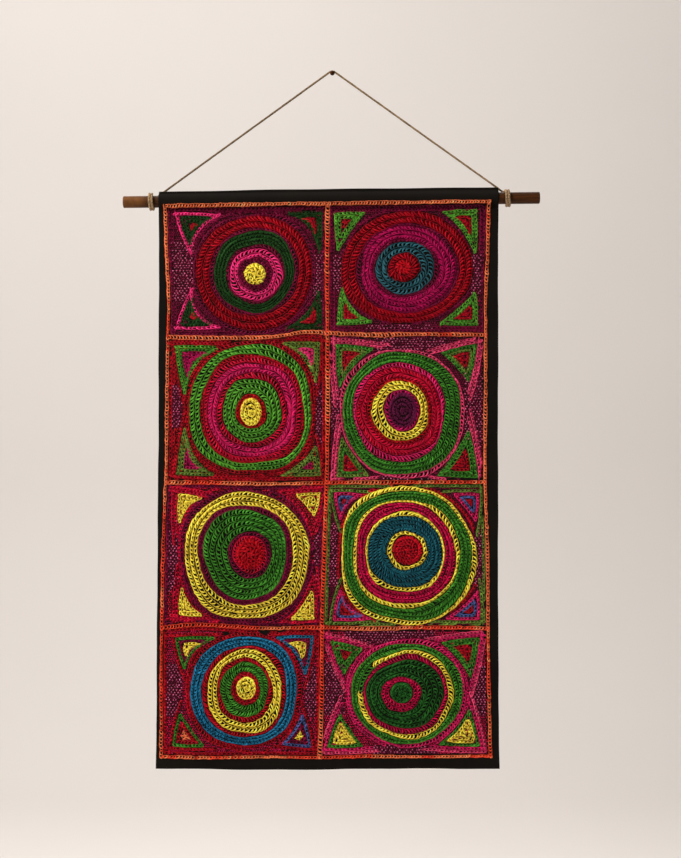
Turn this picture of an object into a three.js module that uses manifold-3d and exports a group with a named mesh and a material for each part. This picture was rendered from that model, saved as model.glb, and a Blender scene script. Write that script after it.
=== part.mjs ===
// Embroidered wall hanging on a wooden rod, with its lashed cord over a wall nail.
// Millimetres, +Z up. The wall is the plane y = 0 and the front faces -Y.
// The origin is the middle of the nail, where it meets the wall.
import * as THREE from 'three';
import { mergeVertices } from 'three/addons/utils/BufferGeometryUtils.js';
import Module from 'manifold-3d';

// Driving dimensions
const clearance = 0.3;
const boreSlack = 0.1; // on top of the clearance, for bores made of flat faces
const nail = {
  shankRadius: 1.6, headRadius: 3.7, headFrom: 8.5, headThickness: 1.7,
  headRim: 0.6, crownRadius: 2.6, crownRise: 1.35, sides: 20,
};
const rod = {
  length: 666, radius: 9.5, rounding: 1.5, cornerShare: 0.3, sides: 24,
  standOff: 15, middleX: -1.4, middleZ: -204.2, tiltDegrees: 0.59,
};
const lashing = { thickness: 4.8, groove: 1.5, turns: 2, shoulder: 0.06, sides: 18 };
const lashings = [
  { name: 'lashing_left', from: -295.4, to: -284.2 },
  { name: 'lashing_right', from: 273.6, to: 285.9 },
];
const cord = { radius: 1.7, sides: 8, stepsPerPoint: 2 };
const cloth = {
  thickness: 1.5, bottomZ: -1113.6, topZ: -188,
  hemWidth: 13, hemExtra: 1.2, hemStep: 1, columns: 8, rows: 12,
};
const pocket = {
  creaseTop: 17, creaseFrom: 13.2, creaseFlare: 0.1, creaseGap: 12.3,
  seamAt: -15, seamIn: 0.2, seamGap: -12.8, tail: -26,
  arcFrom: 40, arcTo: 134, arcSteps: 8, lengthSteps: 6,
};
// How the cloth hangs: free of the seam over freeOver, in long waves, with its bottom hem a little forward
const hang = {
  freeOver: 260, hemLift: 2.5, hemLiftOver: 60,
  waves: [
    { height: 2.4, alongX: 110, alongZ: 260, phase: 0.6 },
    { height: 0.9, alongX: 85, alongZ: -140, phase: 0 },
  ],
};
const stitching = {
  relief: 1.2, buried: 0.9, frameWidth: 8, cornerInset: 9, cornerLeg: 62, cornerHollow: 42,
  // Frame rows are cut across the middle, upright ones also at the top, where the cloth comes in to the seam
  acrossCuts: [0, 0.5, 1], uprightCuts: [0, 0.03, 0.06, 0.5, 1], levelCuts: 4,
};
// How far a ring is from round, how that turns from motif to motif, and its corners up to each radius
const ring = {
  uneven: 0.012, turnPerRow: 1.7, turnRight: 0.8,
  corners: [{ radius: 30, count: 10 }, { radius: 60, count: 16 }, { radius: Infinity, count: 20 }],
};
const weldDistance = 1e-4;

// The cloth's side edges, which lean out a little towards the bottom
const sideEdges = [
  { z: -188, left: -276.8, right: 265.1 },
  { z: -600, left: -277.4, right: 264.3 },
  { z: -870, left: -279.6, right: 264.9 },
  { z: -1113.6, left: -281.6, right: 267.0 },
];

// Where the stitched frame rows cross: one entry for each horizontal row, from the top down
const crossings = [
  { left: [-266.1, -214.6], middle: [-7.7, -211.4], right: [249.9, -208.2] },
  { left: [-262.9, -423.4], middle: [-7.7, -416.2], right: [245.1, -420.2] },
  { left: [-266.1, -656.2], middle: [-9.3, -656.2], right: [244.3, -655.4] },
  { left: [-272.5, -887.4], middle: [-16.5, -887.4], right: [249.1, -887.4] },
  { left: [-273.3, -1093.8], middle: [-19.7, -1093.8], right: [253.1, -1093.8] },
];

// Each ring motif: its middle, its height for a width of 1, and its raised bands from inner to outer radius
const motifs = [
  { row: 0, side: 'left', x: -125, z: -322.6, tall: 1.0, bands: [[0, 17.6], [28, 65], [70.4, 93.6]] },
  { row: 0, side: 'right', x: 113.9, z: -312.3, tall: 0.9, bands: [[0, 47.5], [51.5, 75.5], [80, 104]] },
  { row: 1, side: 'left', x: -127.8, z: -543, tall: 1.07, bands: [[0, 47], [51.5, 76.5], [80, 104]] },
  { row: 1, side: 'right', x: 113.1, z: -540.2, tall: 1.05, bands: [[0, 46.5], [51, 75], [79, 99]] },
  { row: 2, side: 'left', x: -132.6, z: -770.4, tall: 1.06, bands: [[0, 26.5], [37, 66], [74, 98.5]] },
  {
    row: 2, side: 'right', x: 120.3, z: -764.6, tall: 0.96,
    bands: [[0, 32.5], [36, 67], [70.5, 88.5], [92, 110]],
  },
  { row: 3, side: 'left', x: -137.6, z: -984.8, tall: 1.03, bands: [[0, 38.7], [45.6, 61], [69.3, 92.8]] },
  { row: 3, side: 'right', x: 111.2, z: -992.5, tall: 0.93, bands: [[0, 31.5], [34.5, 62], [69, 96]] },
];

// The cord's middle line from the left lashing over the nail to the right lashing
const cordRoute = [
  [-282.9, -5.5, -199.4], [-276.8, -5.6, -195.0], [-262, -5.8, -184.3], [-230, -6, -161.1],
  [-198, -6, -137.9], [-166, -6, -114.8], [-134, -6, -91.6], [-102, -6, -68.5],
  [-70, -6, -45.4], [-38, -6, -22.2], [-16, -6, -6.3], [-7.4, -6, -0.1], [-4.1, -6, 2.2],
  [-2.1, -6, 3.25], [0, -6, 3.6], [2.1, -6, 3.25], [4.1, -6, 2.2], [7.4, -6, -0.1], [16, -6.1, -6.3],
  [38, -6.2, -22], [70, -6.5, -44.9], [102, -6.9, -67.8], [134, -7.3, -90.7],
  [166, -7.8, -113.6], [198, -8.4, -136.5], [230, -9.1, -159.5], [255, -9.9, -177.4],
  [265, -10.3, -184.6], [272.3, -10.4, -190.0],
];

const colours = {
  cloth: new THREE.MeshStandardMaterial({ color: '#3a1420', roughness: 0.9, metalness: 0 }),
  wood: new THREE.MeshStandardMaterial({ color: '#4a2e1a', roughness: 0.6, metalness: 0 }),
  twine: new THREE.MeshStandardMaterial({ color: '#a88a66', roughness: 0.95, metalness: 0 }),
  nail: new THREE.MeshStandardMaterial({ color: '#2a1608', roughness: 0.5, metalness: 0.6 }),
};

const wasm = await Module();
wasm.setup();

const tilt = THREE.MathUtils.degToRad(rod.tiltDegrees);
const rodAxisZ = (x) => rod.middleZ + (x - rod.middleX) * Math.tan(tilt);

// The value of key at a height, straight between the entries of a table that runs downwards
function atHeight(table, key, z) {
  const below = table.findIndex((entry) => entry.z < z);
  if (below === 0) return table[0][key];
  if (below < 0) return table[table.length - 1][key];
  const [upper, lower] = [table[below - 1], table[below]];
  return THREE.MathUtils.mapLinear(z, upper.z, lower.z, upper[key], lower[key]);
}

// How far the pocket stands out in front of the rod's axis, at a height up from that axis
function pocketBulge(up) {
  const radius = rod.radius + clearance + cloth.thickness;
  const lowest = THREE.MathUtils.degToRad(pocket.arcTo);
  const [arcEnd, arcEndUp] = [radius * Math.sin(lowest), radius * Math.cos(lowest)];
  if (up > arcEndUp) return Math.sqrt(radius * radius - up * up);
  return THREE.MathUtils.mapLinear(
    Math.max(up, pocket.seamAt), pocket.seamAt, arcEndUp, cloth.thickness, arcEnd,
  );
}

// How far the cloth's front lies from the wall: round the rod, in to the seam, then down in shallow waves
function frontFromWall(x, z) {
  const up = z - rodAxisZ(x);
  const freed = THREE.MathUtils.smoothstep(pocket.seamAt - up, 0, hang.freeOver);
  const waves = hang.waves.map(
    ({ height, alongX, alongZ, phase }) => height * Math.sin(x / alongX + z / alongZ + phase),
  );
  const hemFrom = -cloth.bottomZ - hang.hemLiftOver;
  const hemLift = hang.hemLift * THREE.MathUtils.smoothstep(-z, hemFrom, -cloth.bottomZ);
  return rod.standOff + pocketBulge(up) + freed * waves.reduce((total, wave) => total + wave) + hemLift;
}

function toSolid(geometry) {
  geometry.deleteAttribute('normal');
  geometry.deleteAttribute('uv');
  const merged = mergeVertices(geometry, weldDistance);
  const vertProperties = new Float32Array(merged.attributes.position.array);
  const triVerts = new Uint32Array(merged.index.array);
  return new wasm.Manifold(new wasm.Mesh({ numProp: 3, vertProperties, triVerts }));
}

function toGeometry(solid) {
  const mesh = solid.getMesh();
  const geometry = new THREE.BufferGeometry();
  geometry.setAttribute('position', new THREE.BufferAttribute(mesh.vertProperties, 3));
  geometry.setIndex(new THREE.BufferAttribute(mesh.triVerts, 1));
  geometry.computeVertexNormals();
  return geometry;
}

// A closed slab. columns and rows are shares across and down, and place gives a point of its front or back.
function slab(columns, rows, place) {
  const stride = columns.length;
  const layer = stride * rows.length;
  const points = ['back', 'front'].flatMap(
    (face) => rows.flatMap((t) => columns.flatMap((s) => place(s, t, face))),
  );
  const back = (i, j) => j * stride + i;
  const front = (i, j) => layer + back(i, j);
  const triangles = [];
  const quad = (a, b, c, d) => triangles.push(a, b, c, a, c, d);
  const lastColumn = columns.length - 1;
  const lastRow = rows.length - 1;
  for (let j = 0; j < lastRow; j++) {
    for (let i = 0; i < lastColumn; i++) {
      quad(front(i, j + 1), front(i + 1, j + 1), front(i + 1, j), front(i, j));
      quad(back(i, j), back(i + 1, j), back(i + 1, j + 1), back(i, j + 1));
    }
    quad(front(0, j), back(0, j), back(0, j + 1), front(0, j + 1));
    quad(back(lastColumn, j), front(lastColumn, j), front(lastColumn, j + 1), back(lastColumn, j + 1));
  }
  for (let i = 0; i < lastColumn; i++) {
    quad(front(i, 0), front(i + 1, 0), back(i + 1, 0), back(i, 0));
    quad(back(i, lastRow), back(i + 1, lastRow), front(i + 1, lastRow), front(i, lastRow));
  }
  const geometry = new THREE.BufferGeometry();
  geometry.setAttribute('position', new THREE.Float32BufferAttribute(points, 3));
  geometry.setIndex(triangles);
  return geometry;
}

const shares = (count) => Array.from({ length: count + 1 }, (_, i) => i / count);

// The hanging sheet from the seam down, thicker where its side and bottom hems are turned back
function sheet() {
  const width = sideEdges[0].right - sideEdges[0].left;
  const height = cloth.topZ - cloth.bottomZ;
  const side = cloth.hemWidth / width;
  const sideStep = (cloth.hemWidth + cloth.hemStep) / width;
  const bottom = 1 - cloth.hemWidth / height;
  const bottomStep = 1 - (cloth.hemWidth + cloth.hemStep) / height;
  const inner = (share) => share > sideStep && share < 1 - sideStep;
  const columns = [0, side, sideStep, ...shares(cloth.columns).filter(inner), 1 - sideStep, 1 - side, 1];
  const rows = [...shares(cloth.rows).filter((share) => share < bottomStep), bottomStep, bottom, 1];
  return slab(columns, rows, (s, t, face) => {
    const roughX = THREE.MathUtils.lerp(sideEdges[0].left, sideEdges[0].right, s);
    const z = THREE.MathUtils.lerp(rodAxisZ(roughX) + pocket.seamAt, cloth.bottomZ, t);
    const x = THREE.MathUtils.lerp(atHeight(sideEdges, 'left', z), atHeight(sideEdges, 'right', z), s);
    const inHem = s <= side || s >= 1 - side || t >= bottom;
    const depth = cloth.thickness + (inHem ? cloth.hemExtra : 0);
    return [x, -(frontFromWall(x, z) - (face === 'back' ? depth : 0)), z];
  });
}

// The rod pocket's section, from the seam round the rod to the pressed crease, with the rod's way open.
// The first coordinate points to the wall and the second up, both from the rod's axis.
function pocketSection() {
  const outerRadius = rod.radius + clearance + cloth.thickness;
  const innerRadius = rod.radius + clearance + boreSlack;
  const arc = (radius, side) => shares(pocket.arcSteps).map((share) => {
    const angle = THREE.MathUtils.degToRad(THREE.MathUtils.lerp(pocket.arcFrom, pocket.arcTo, share));
    return new THREE.Vector2(side * radius * Math.sin(angle), radius * Math.cos(angle));
  });
  const creaseHalf = cloth.thickness;
  const outline = new THREE.Shape([
    new THREE.Vector2(-creaseHalf, pocket.creaseTop),
    new THREE.Vector2(-creaseHalf - pocket.creaseFlare, pocket.creaseFrom),
    ...arc(outerRadius, -1),
    new THREE.Vector2(-creaseHalf + pocket.seamIn, pocket.seamAt),
    new THREE.Vector2(-creaseHalf + pocket.seamIn, pocket.tail),
    new THREE.Vector2(creaseHalf, pocket.tail),
    new THREE.Vector2(creaseHalf, pocket.seamAt),
    ...arc(outerRadius, 1).reverse(),
    new THREE.Vector2(creaseHalf + pocket.creaseFlare, pocket.creaseFrom),
    new THREE.Vector2(creaseHalf, pocket.creaseTop),
  ]);
  outline.holes.push(new THREE.Path([
    new THREE.Vector2(0, pocket.creaseGap),
    ...arc(innerRadius, -1),
    new THREE.Vector2(0, pocket.seamGap),
    ...arc(innerRadius, 1).reverse(),
  ]));
  return outline;
}

function pocketSleeve() {
  const from = sideEdges[0].left;
  const width = sideEdges[0].right - from;
  const geometry = new THREE.ExtrudeGeometry(pocketSection(), {
    depth: width, steps: pocket.lengthSteps, bevelEnabled: false,
  });
  const position = geometry.attributes.position;
  for (let i = 0; i < position.count; i++) {
    const [toWall, up, along] = [position.getX(i), position.getY(i), position.getZ(i)];
    const x = from + along;
    position.setXYZ(i, x, toWall - rod.standOff, rodAxisZ(x) + up);
  }
  return geometry;
}

// A raised patch of stitching: an outline in the plane of the cloth, laid on the cloth's waves
function patch(shape) {
  const depth = stitching.buried + stitching.relief;
  const geometry = new THREE.ExtrudeGeometry(shape, { depth, steps: 1, bevelEnabled: false });
  const position = geometry.attributes.position;
  for (let i = 0; i < position.count; i++) {
    const [x, z, lift] = [position.getX(i), position.getY(i), position.getZ(i) - stitching.buried];
    position.setXYZ(i, x, -(frontFromWall(x, z) + lift), z);
  }
  return geometry;
}

// A hand-stitched ring is never quite round: two slow waves turn with each motif
function ringPoints(motif, radius) {
  const { count } = ring.corners.find((entry) => radius < entry.radius);
  const turn = motif.row * ring.turnPerRow + (motif.side === 'left' ? 0 : ring.turnRight);
  return Array.from({ length: count }, (_, i) => {
    const angle = (i / count) * 2 * Math.PI;
    const uneven = 1 + ring.uneven * (Math.sin(2 * angle + turn) + Math.sin(3 * angle + 2 * turn));
    const reach = radius * uneven;
    return new THREE.Vector2(
      motif.x + reach * Math.cos(angle), motif.z + reach * motif.tall * Math.sin(angle),
    );
  });
}

function ringBands(motif) {
  return motif.bands.map(([inner, outer]) => {
    const shape = new THREE.Shape(ringPoints(motif, outer));
    if (inner > 0) shape.holes.push(new THREE.Path(ringPoints(motif, inner)));
    return patch(shape);
  });
}

// The four corners of a motif's square are filled with triangles whose long side is hollowed
function cornerPatches(motif) {
  const [outerSide, innerSide] = motif.side === 'left' ? ['left', 'middle'] : ['middle', 'right'];
  const corners = [
    { at: crossings[motif.row][outerSide], across: 1, up: -1 },
    { at: crossings[motif.row][innerSide], across: -1, up: -1 },
    { at: crossings[motif.row + 1][outerSide], across: 1, up: 1 },
    { at: crossings[motif.row + 1][innerSide], across: -1, up: 1 },
  ];
  return corners.map(({ at, across, up }) => {
    const x = at[0] + across * stitching.cornerInset;
    const z = at[1] + up * stitching.cornerInset;
    const hollow = stitching.cornerHollow / Math.SQRT2;
    return patch(new THREE.Shape([
      new THREE.Vector2(x, z),
      new THREE.Vector2(x + across * stitching.cornerLeg, z),
      new THREE.Vector2(x + across * hollow, z + up * hollow),
      new THREE.Vector2(x, z + up * stitching.cornerLeg),
    ]));
  });
}

// A raised frame row between two crossings, as a strip of the row's width
function frameRow(from, to) {
  const run = new THREE.Vector2(to[0] - from[0], to[1] - from[1]);
  const aside = new THREE.Vector2(-run.y, run.x).normalize().multiplyScalar(stitching.frameWidth / 2);
  const overrun = run.clone().normalize().multiplyScalar(stitching.frameWidth / 2);
  const upright = Math.abs(run.y) > Math.abs(run.x);
  const place = (across, along, face) => {
    const side = (across - 0.5) * 2;
    const x = from[0] - overrun.x + (run.x + 2 * overrun.x) * along + aside.x * side;
    const z = from[1] - overrun.y + (run.y + 2 * overrun.y) * along + aside.y * side;
    const lift = face === 'front' ? stitching.relief : -stitching.buried;
    return [x, -(frontFromWall(x, z) + lift), z];
  };
  if (upright) return slab([0, 1], stitching.uprightCuts, place);
  return slab(shares(stitching.levelCuts), stitching.acrossCuts, (s, t, face) => place(1 - t, s, face));
}

function frameRows() {
  const sides = ['left', 'middle', 'right'];
  const level = crossings.flatMap((row) => [frameRow(row.left, row.middle), frameRow(row.middle, row.right)]);
  const upright = sides.flatMap(
    (side) => crossings.slice(1).map((row, i) => frameRow(crossings[i][side], row[side])),
  );
  return [...level, ...upright];
}

function embroideredCloth() {
  const motifBands = motifs.flatMap((motif) => [...ringBands(motif), ...cornerPatches(motif)]);
  const stitched = [...frameRows(), ...motifBands];
  const bare = toSolid(sheet()).add(toSolid(pocketSleeve()));
  return toGeometry(stitched.reduce((solid, piece) => solid.add(toSolid(piece)), bare));
}

// A body turned about the X axis from points of [along, radius]
function turned(profile, segments) {
  const points = profile.map(([along, radius]) => new THREE.Vector2(radius, along));
  const geometry = new THREE.LatheGeometry(points, segments);
  geometry.rotateZ(-Math.PI / 2);
  return geometry;
}

function woodenRod() {
  const half = rod.length / 2;
  const { radius, rounding } = rod;
  const corner = rod.cornerShare * rounding;
  return turned([
    [-half, 0], [-half, radius - rounding], [-half + corner, radius - corner], [-half + rounding, radius],
    [half - rounding, radius], [half - corner, radius - corner], [half, radius - rounding], [half, 0],
  ], rod.sides);
}

// A few turns of twine side by side: a ring with one ridge for each turn
function lashingRing(width) {
  const inner = rod.radius + clearance + boreSlack;
  const outer = rod.radius + clearance + lashing.thickness;
  const turnWidth = width / lashing.turns;
  const ridge = (i) => [
    [-width / 2 + (i + lashing.shoulder) * turnWidth, outer - lashing.groove],
    [-width / 2 + (i + 0.5) * turnWidth, outer],
    [-width / 2 + (i + 1 - lashing.shoulder) * turnWidth, outer - lashing.groove],
  ];
  const ridges = Array.from({ length: lashing.turns }, (_, i) => ridge(i)).flat();
  const profile = [[-width / 2, inner], ...ridges, [width / 2, inner], [-width / 2, inner]];
  return turned(profile, lashing.sides);
}

// The steps follow the route's own points, so that they lie close together on the bend at the nail
class CordCurve extends THREE.CatmullRomCurve3 {
  getUtoTmapping(u) {
    return u;
  }
}

function hangingCord() {
  const curve = new CordCurve(cordRoute.map((point) => new THREE.Vector3(...point)), false, 'centripetal');
  const section = new THREE.Shape(Array.from({ length: cord.sides }, (_, i) => {
    const angle = ((i + 0.5) / cord.sides) * 2 * Math.PI;
    return new THREE.Vector2(cord.radius * Math.cos(angle), cord.radius * Math.sin(angle));
  }));
  const steps = (cordRoute.length - 1) * cord.stepsPerPoint;
  return new THREE.ExtrudeGeometry(section, { extrudePath: curve, steps, bevelEnabled: false });
}

// Shank out of the wall, then a low domed head
function wallNail() {
  const { shankRadius, headRadius, headFrom } = nail;
  const profile = [
    [0, 0], [shankRadius, 0], [shankRadius, headFrom],
    [headRadius, headFrom], [headRadius, headFrom + nail.headRim],
    [nail.crownRadius, headFrom + nail.crownRise], [0, headFrom + nail.headThickness],
  ].map(([radius, out]) => new THREE.Vector2(radius, out));
  const geometry = new THREE.LatheGeometry(profile, nail.sides);
  geometry.rotateX(Math.PI);
  return geometry;
}

function named(name, geometry, material) {
  const mesh = new THREE.Mesh(geometry, material);
  mesh.name = name;
  return mesh;
}

const hanging = new THREE.Group();
hanging.add(named('embroidered_cloth', embroideredCloth(), colours.cloth));

const rodGroup = new THREE.Group();
rodGroup.position.set(rod.middleX, -rod.standOff, rod.middleZ);
rodGroup.rotation.y = -tilt;
rodGroup.add(named('wooden_rod', woodenRod(), colours.wood));
for (const { name, from, to } of lashings) {
  const twine = named(name, lashingRing(to - from), colours.twine);
  twine.position.x = (from + to) / 2 - rod.middleX;
  rodGroup.add(twine);
}
hanging.add(rodGroup);
hanging.add(named('hanging_cord', hangingCord(), colours.twine));
hanging.add(named('wall_nail', wallNail(), colours.nail));

export default hanging;
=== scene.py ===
# Embroidered wall hanging: black cotton in chain stitch, on a stained rod with a jute cord over a nail.
# The dictionaries hold millimetres in the frame of the CAD part: the wall is y = 0 and the front faces -Y.
import math
import bpy
import numpy as np
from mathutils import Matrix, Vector


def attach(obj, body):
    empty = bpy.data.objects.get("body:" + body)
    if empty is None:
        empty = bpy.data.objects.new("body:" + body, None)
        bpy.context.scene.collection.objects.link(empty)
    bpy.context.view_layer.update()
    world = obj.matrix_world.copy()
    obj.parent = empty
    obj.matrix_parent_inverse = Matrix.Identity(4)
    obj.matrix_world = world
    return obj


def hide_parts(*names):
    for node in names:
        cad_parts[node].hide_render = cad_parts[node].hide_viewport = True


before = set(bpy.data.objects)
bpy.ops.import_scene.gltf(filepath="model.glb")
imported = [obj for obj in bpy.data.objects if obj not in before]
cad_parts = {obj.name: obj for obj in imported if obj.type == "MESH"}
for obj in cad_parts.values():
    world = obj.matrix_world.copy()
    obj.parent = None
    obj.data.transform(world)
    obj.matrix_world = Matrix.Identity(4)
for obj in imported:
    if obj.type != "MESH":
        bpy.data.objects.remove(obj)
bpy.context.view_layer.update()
chance = np.random.default_rng(27)

# Helpers


def linear(hexColour):
    shares = [int(hexColour[i:i + 2], 16) / 255 for i in (1, 3, 5)]
    return [c / 12.92 if c <= 0.04045 else ((c + 0.055) / 1.055) ** 2.4 for c in shares]


def rgba(hexColour):
    return (*linear(hexColour), 1.0)


def addNode(material, kind, settings=None, sockets=None):
    # A socket's value is a number, a colour, or the output that feeds it
    node = material.node_tree.nodes.new(kind)
    for key, value in (settings or {}).items():
        setattr(node, key, value)
    for key, value in (sockets or {}).items():
        if isinstance(value, bpy.types.NodeSocket):
            material.node_tree.links.new(value, node.inputs[key])
        else:
            node.inputs[key].default_value = value
    return node


def newMaterial(name):
    material = bpy.data.materials.new(name)
    material.use_nodes = True
    material.node_tree.nodes.clear()
    return material


def finishMaterial(material, sockets):
    shader = addNode(material, "ShaderNodeBsdfPrincipled", None, sockets)
    addNode(material, "ShaderNodeOutputMaterial", None, {"Surface": shader.outputs["BSDF"]})
    return material


def multiply(material, colour, factorSocket, low, high):
    # Darkens and lightens a colour between two shares as a pattern goes from 0 to 1
    shade = addNode(material, "ShaderNodeMapRange", None,
                    {"Value": factorSocket, "To Min": low, "To Max": high})
    mixed = addNode(material, "ShaderNodeVectorMath", {"operation": "SCALE"},
                    {0: colour, "Scale": shade.outputs["Result"]})
    return mixed.outputs["Vector"]


def meshPiece(name, points, quads, material, bakeUv=None, runUv=None, colours=None):
    mesh = bpy.data.meshes.new(name)
    mesh.vertices.add(len(points))
    mesh.vertices.foreach_set("co", (np.asarray(points, float) * 0.001).ravel())
    mesh.loops.add(quads.size)
    mesh.loops.foreach_set("vertex_index", quads.astype(np.int32).ravel())
    mesh.polygons.add(len(quads))
    mesh.polygons.foreach_set("loop_start", np.arange(0, quads.size, 4, dtype=np.int32))
    mesh.polygons.foreach_set("use_smooth", np.ones(len(quads), dtype=bool))
    mesh.update(calc_edges=True)
    for mapName, values in (("OFBake", bakeUv), ("run", runUv)):
        if values is not None:
            mesh.uv_layers.new(name=mapName).data.foreach_set("uv", np.asarray(values, float).ravel())
    if colours is not None:
        attribute = mesh.color_attributes.new("yarnColourAndShade", "FLOAT_COLOR", "POINT")
        attribute.data.foreach_set("color", colours.ravel())
    mesh.materials.append(material)
    piece = bpy.data.objects.new(name, mesh)
    bpy.context.scene.collection.objects.link(piece)
    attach(piece, "root")
    return piece


def unit(vectors):
    return vectors / np.maximum(np.linalg.norm(vectors, axis=-1, keepdims=True), 1e-9)


def tubes(centres, wide, high, up, sides):
    # Soft flattened tubes: centres is (tube, station, 3), wide and high the half sizes, up the cloth's
    # outward side
    count, stations = centres.shape[:2]
    along = unit(np.gradient(centres, axis=1))
    across = unit(np.cross(along, up))
    top = np.cross(across, along)
    turn = np.arange(sides) / sides * 2 * math.pi + 0.3
    rings = (centres[:, :, None]
             + across[:, :, None] * (np.cos(turn)[None, None, :, None] * wide[..., None, None])
             + top[:, :, None] * (np.sin(turn)[None, None, :, None] * high[..., None, None]))
    station, side = np.meshgrid(np.arange(stations - 1), np.arange(sides), indexing="ij")
    nextSide = (side + 1) % sides
    quads = np.stack([station * sides + side, station * sides + nextSide,
                      (station + 1) * sides + nextSide, (station + 1) * sides + side],
                      axis=-1).reshape(-1, 4)
    quads = quads[None] + (np.arange(count) * stations * sides)[:, None, None]
    # Where each corner of a quad lies along the tube and round it
    share = np.stack([np.stack([station, side], -1), np.stack([station, side + 1], -1),
                      np.stack([station + 1, side + 1], -1), np.stack([station + 1, side], -1)],
                      axis=2).reshape(-1, 4, 2)
    share = share / np.array([stations - 1, sides])
    return rings.reshape(-1, 3), quads.reshape(-1, 4), share


def lengthAlong(points):
    return np.concatenate([[0], np.cumsum(np.linalg.norm(np.diff(points, axis=0), axis=1))])


def respaced(points, count):
    points = np.asarray(points, float)
    run = lengthAlong(points)
    at = np.linspace(0, run[-1], count)
    return np.stack([np.interp(at, run, points[:, k]) for k in range(points.shape[1])], axis=1)


def rounded(points, perSpan=12):
    # A smooth line through given points
    points = np.asarray(points, float)
    ends = np.vstack([2 * points[0] - points[1], points, 2 * points[-1] - points[-2]])
    t = np.linspace(0, 1, perSpan, endpoint=False)[:, None]
    spans = [0.5 * (2 * b + (c - a) * t + (2 * a - 5 * b + 4 * c - d) * t ** 2
                    + (3 * b - a - 3 * c + d) * t ** 3)
             for a, b, c, d in zip(ends, ends[1:], ends[2:], ends[3:])]
    return np.vstack(spans + [points[-1:]])


# Camera: level, straight on, as the photograph was taken from 2.7 m with a long lens
cameraSettings = {"middle": (13.1, -570.6), "distance": 2684, "lens": 70}
camera = bpy.data.objects.new("camera", bpy.data.cameras.new("camera"))
camera.data.lens = cameraSettings["lens"]
camera.location = (cameraSettings["middle"][0] / 1000, -cameraSettings["distance"] / 1000,
                   cameraSettings["middle"][1] / 1000)
camera.rotation_euler = (math.pi / 2, 0, 0)
bpy.context.scene.collection.objects.link(camera)
bpy.context.scene.camera = camera
print("camera placed")

# Jute twine: the cord over the nail and the lashings round the rod

rod = {"radius": 9.5, "axisFromWall": 15, "middleX": -1.4, "middleZ": -204.2, "tilt": 0.59}
twineSettings = {"plyShare": 0.27, "stepsPerTwist": 12, "sides": 7, "taper": 2}
cordSettings = {
    "diameter": 3.4, "strands": 3, "twistLength": 9.5, "length": 0.695,
    "route": [
        (-289, -5.6, -201.5), (-282.9, -5.5, -199.4), (-276.8, -5.6, -195.0), (-262, -5.8, -184.3),
        (-230, -6, -161.1), (-198, -6, -137.9), (-166, -6, -114.8), (-134, -6, -91.6), (-102, -6, -68.5),
        (-70, -6, -45.4), (-38, -6, -22.2), (-16, -6, -6.3), (-7.4, -6, -0.1), (-4.1, -6, 2.2),
        (-2.1, -6, 3.25), (0, -6, 3.6), (2.1, -6, 3.25), (4.1, -6, 2.2), (7.4, -6, -0.1), (16, -6.1, -6.3),
        (38, -6.2, -22), (70, -6.5, -44.9), (102, -6.9, -67.8), (134, -7.3, -90.7),
        (166, -7.8, -113.6), (198, -8.4, -136.5), (230, -9.1, -159.5), (255, -9.9, -177.4),
        (265, -10.3, -184.6), (272.3, -10.4, -190.0), (278, -10.6, -191.6),
    ],  # the first and the last point are tucked under the lashings
}
lashingSettings = {
    "diameter": 4.0, "strands": 3, "twistLength": 10.5, "turns": 2, "lift": 1.0, "tuck": 1.1, "waver": 0.25,
    "left": {"from": -295.8, "to": -283.7, "start": 250},
    "right": {"from": 273.6, "to": 285.9, "start": 250},
}


def rodAxisZ(x):
    return rod["middleZ"] + (x - rod["middleX"]) * math.tan(math.radians(rod["tilt"]))


def juteTwine(name, low, high, leftShade):
    # Three-ply jute, spun and not bleached: dry, dull and hairy, with darker flecks of bark between pale
    # fibres
    material = newMaterial(name)
    place = addNode(material, "ShaderNodeTexCoord")
    run = addNode(material, "ShaderNodeUVMap", {"uv_map": "run"})
    flecks = addNode(material, "ShaderNodeTexNoise", None,
                     {"Vector": place.outputs["Object"], "Scale": 420.0, "Detail": 3.0})
    tone = addNode(material, "ShaderNodeValToRGB", None, {"Fac": flecks.outputs["Fac"]})
    tone.color_ramp.elements[0].position, tone.color_ramp.elements[0].color = 0.36, rgba("#553f28")
    tone.color_ramp.elements[1].position, tone.color_ramp.elements[1].color = 0.62, rgba("#b39268")
    # Fibres run in long streaks along each ply: 25 to a turn round it
    stretched = addNode(material, "ShaderNodeMapping", None,
                        {"Vector": run.outputs["UV"], "Scale": (0.25, 25.0, 1.0)})
    fibres = addNode(material, "ShaderNodeTexNoise", None,
                     {"Vector": stretched.outputs["Vector"], "Scale": 1.0, "Detail": 2.0})
    spun = multiply(material, tone.outputs["Color"], fibres.outputs["Fac"], low, high)
    # Painted shade: the twine is painted darker over the left half, where it lay in shade
    along = addNode(material, "ShaderNodeSeparateXYZ", None, {"Vector": place.outputs["Object"]})
    leftShadeRamp = addNode(material, "ShaderNodeMapRange", None,
                    {"Value": along.outputs["X"], "From Min": -0.06, "From Max": 0.04})
    colour = multiply(material, spun, leftShadeRamp.outputs["Result"], leftShade, 1.0)
    bump = addNode(material, "ShaderNodeBump", None,
                   {"Height": fibres.outputs["Fac"], "Strength": 0.7, "Distance": 0.0004})
    return finishMaterial(material, {"Base Color": colour, "Roughness": 0.92, "Sheen Weight": 0.25,
                                     "Sheen Roughness": 0.5, "Normal": bump.outputs["Normal"]})


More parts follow.
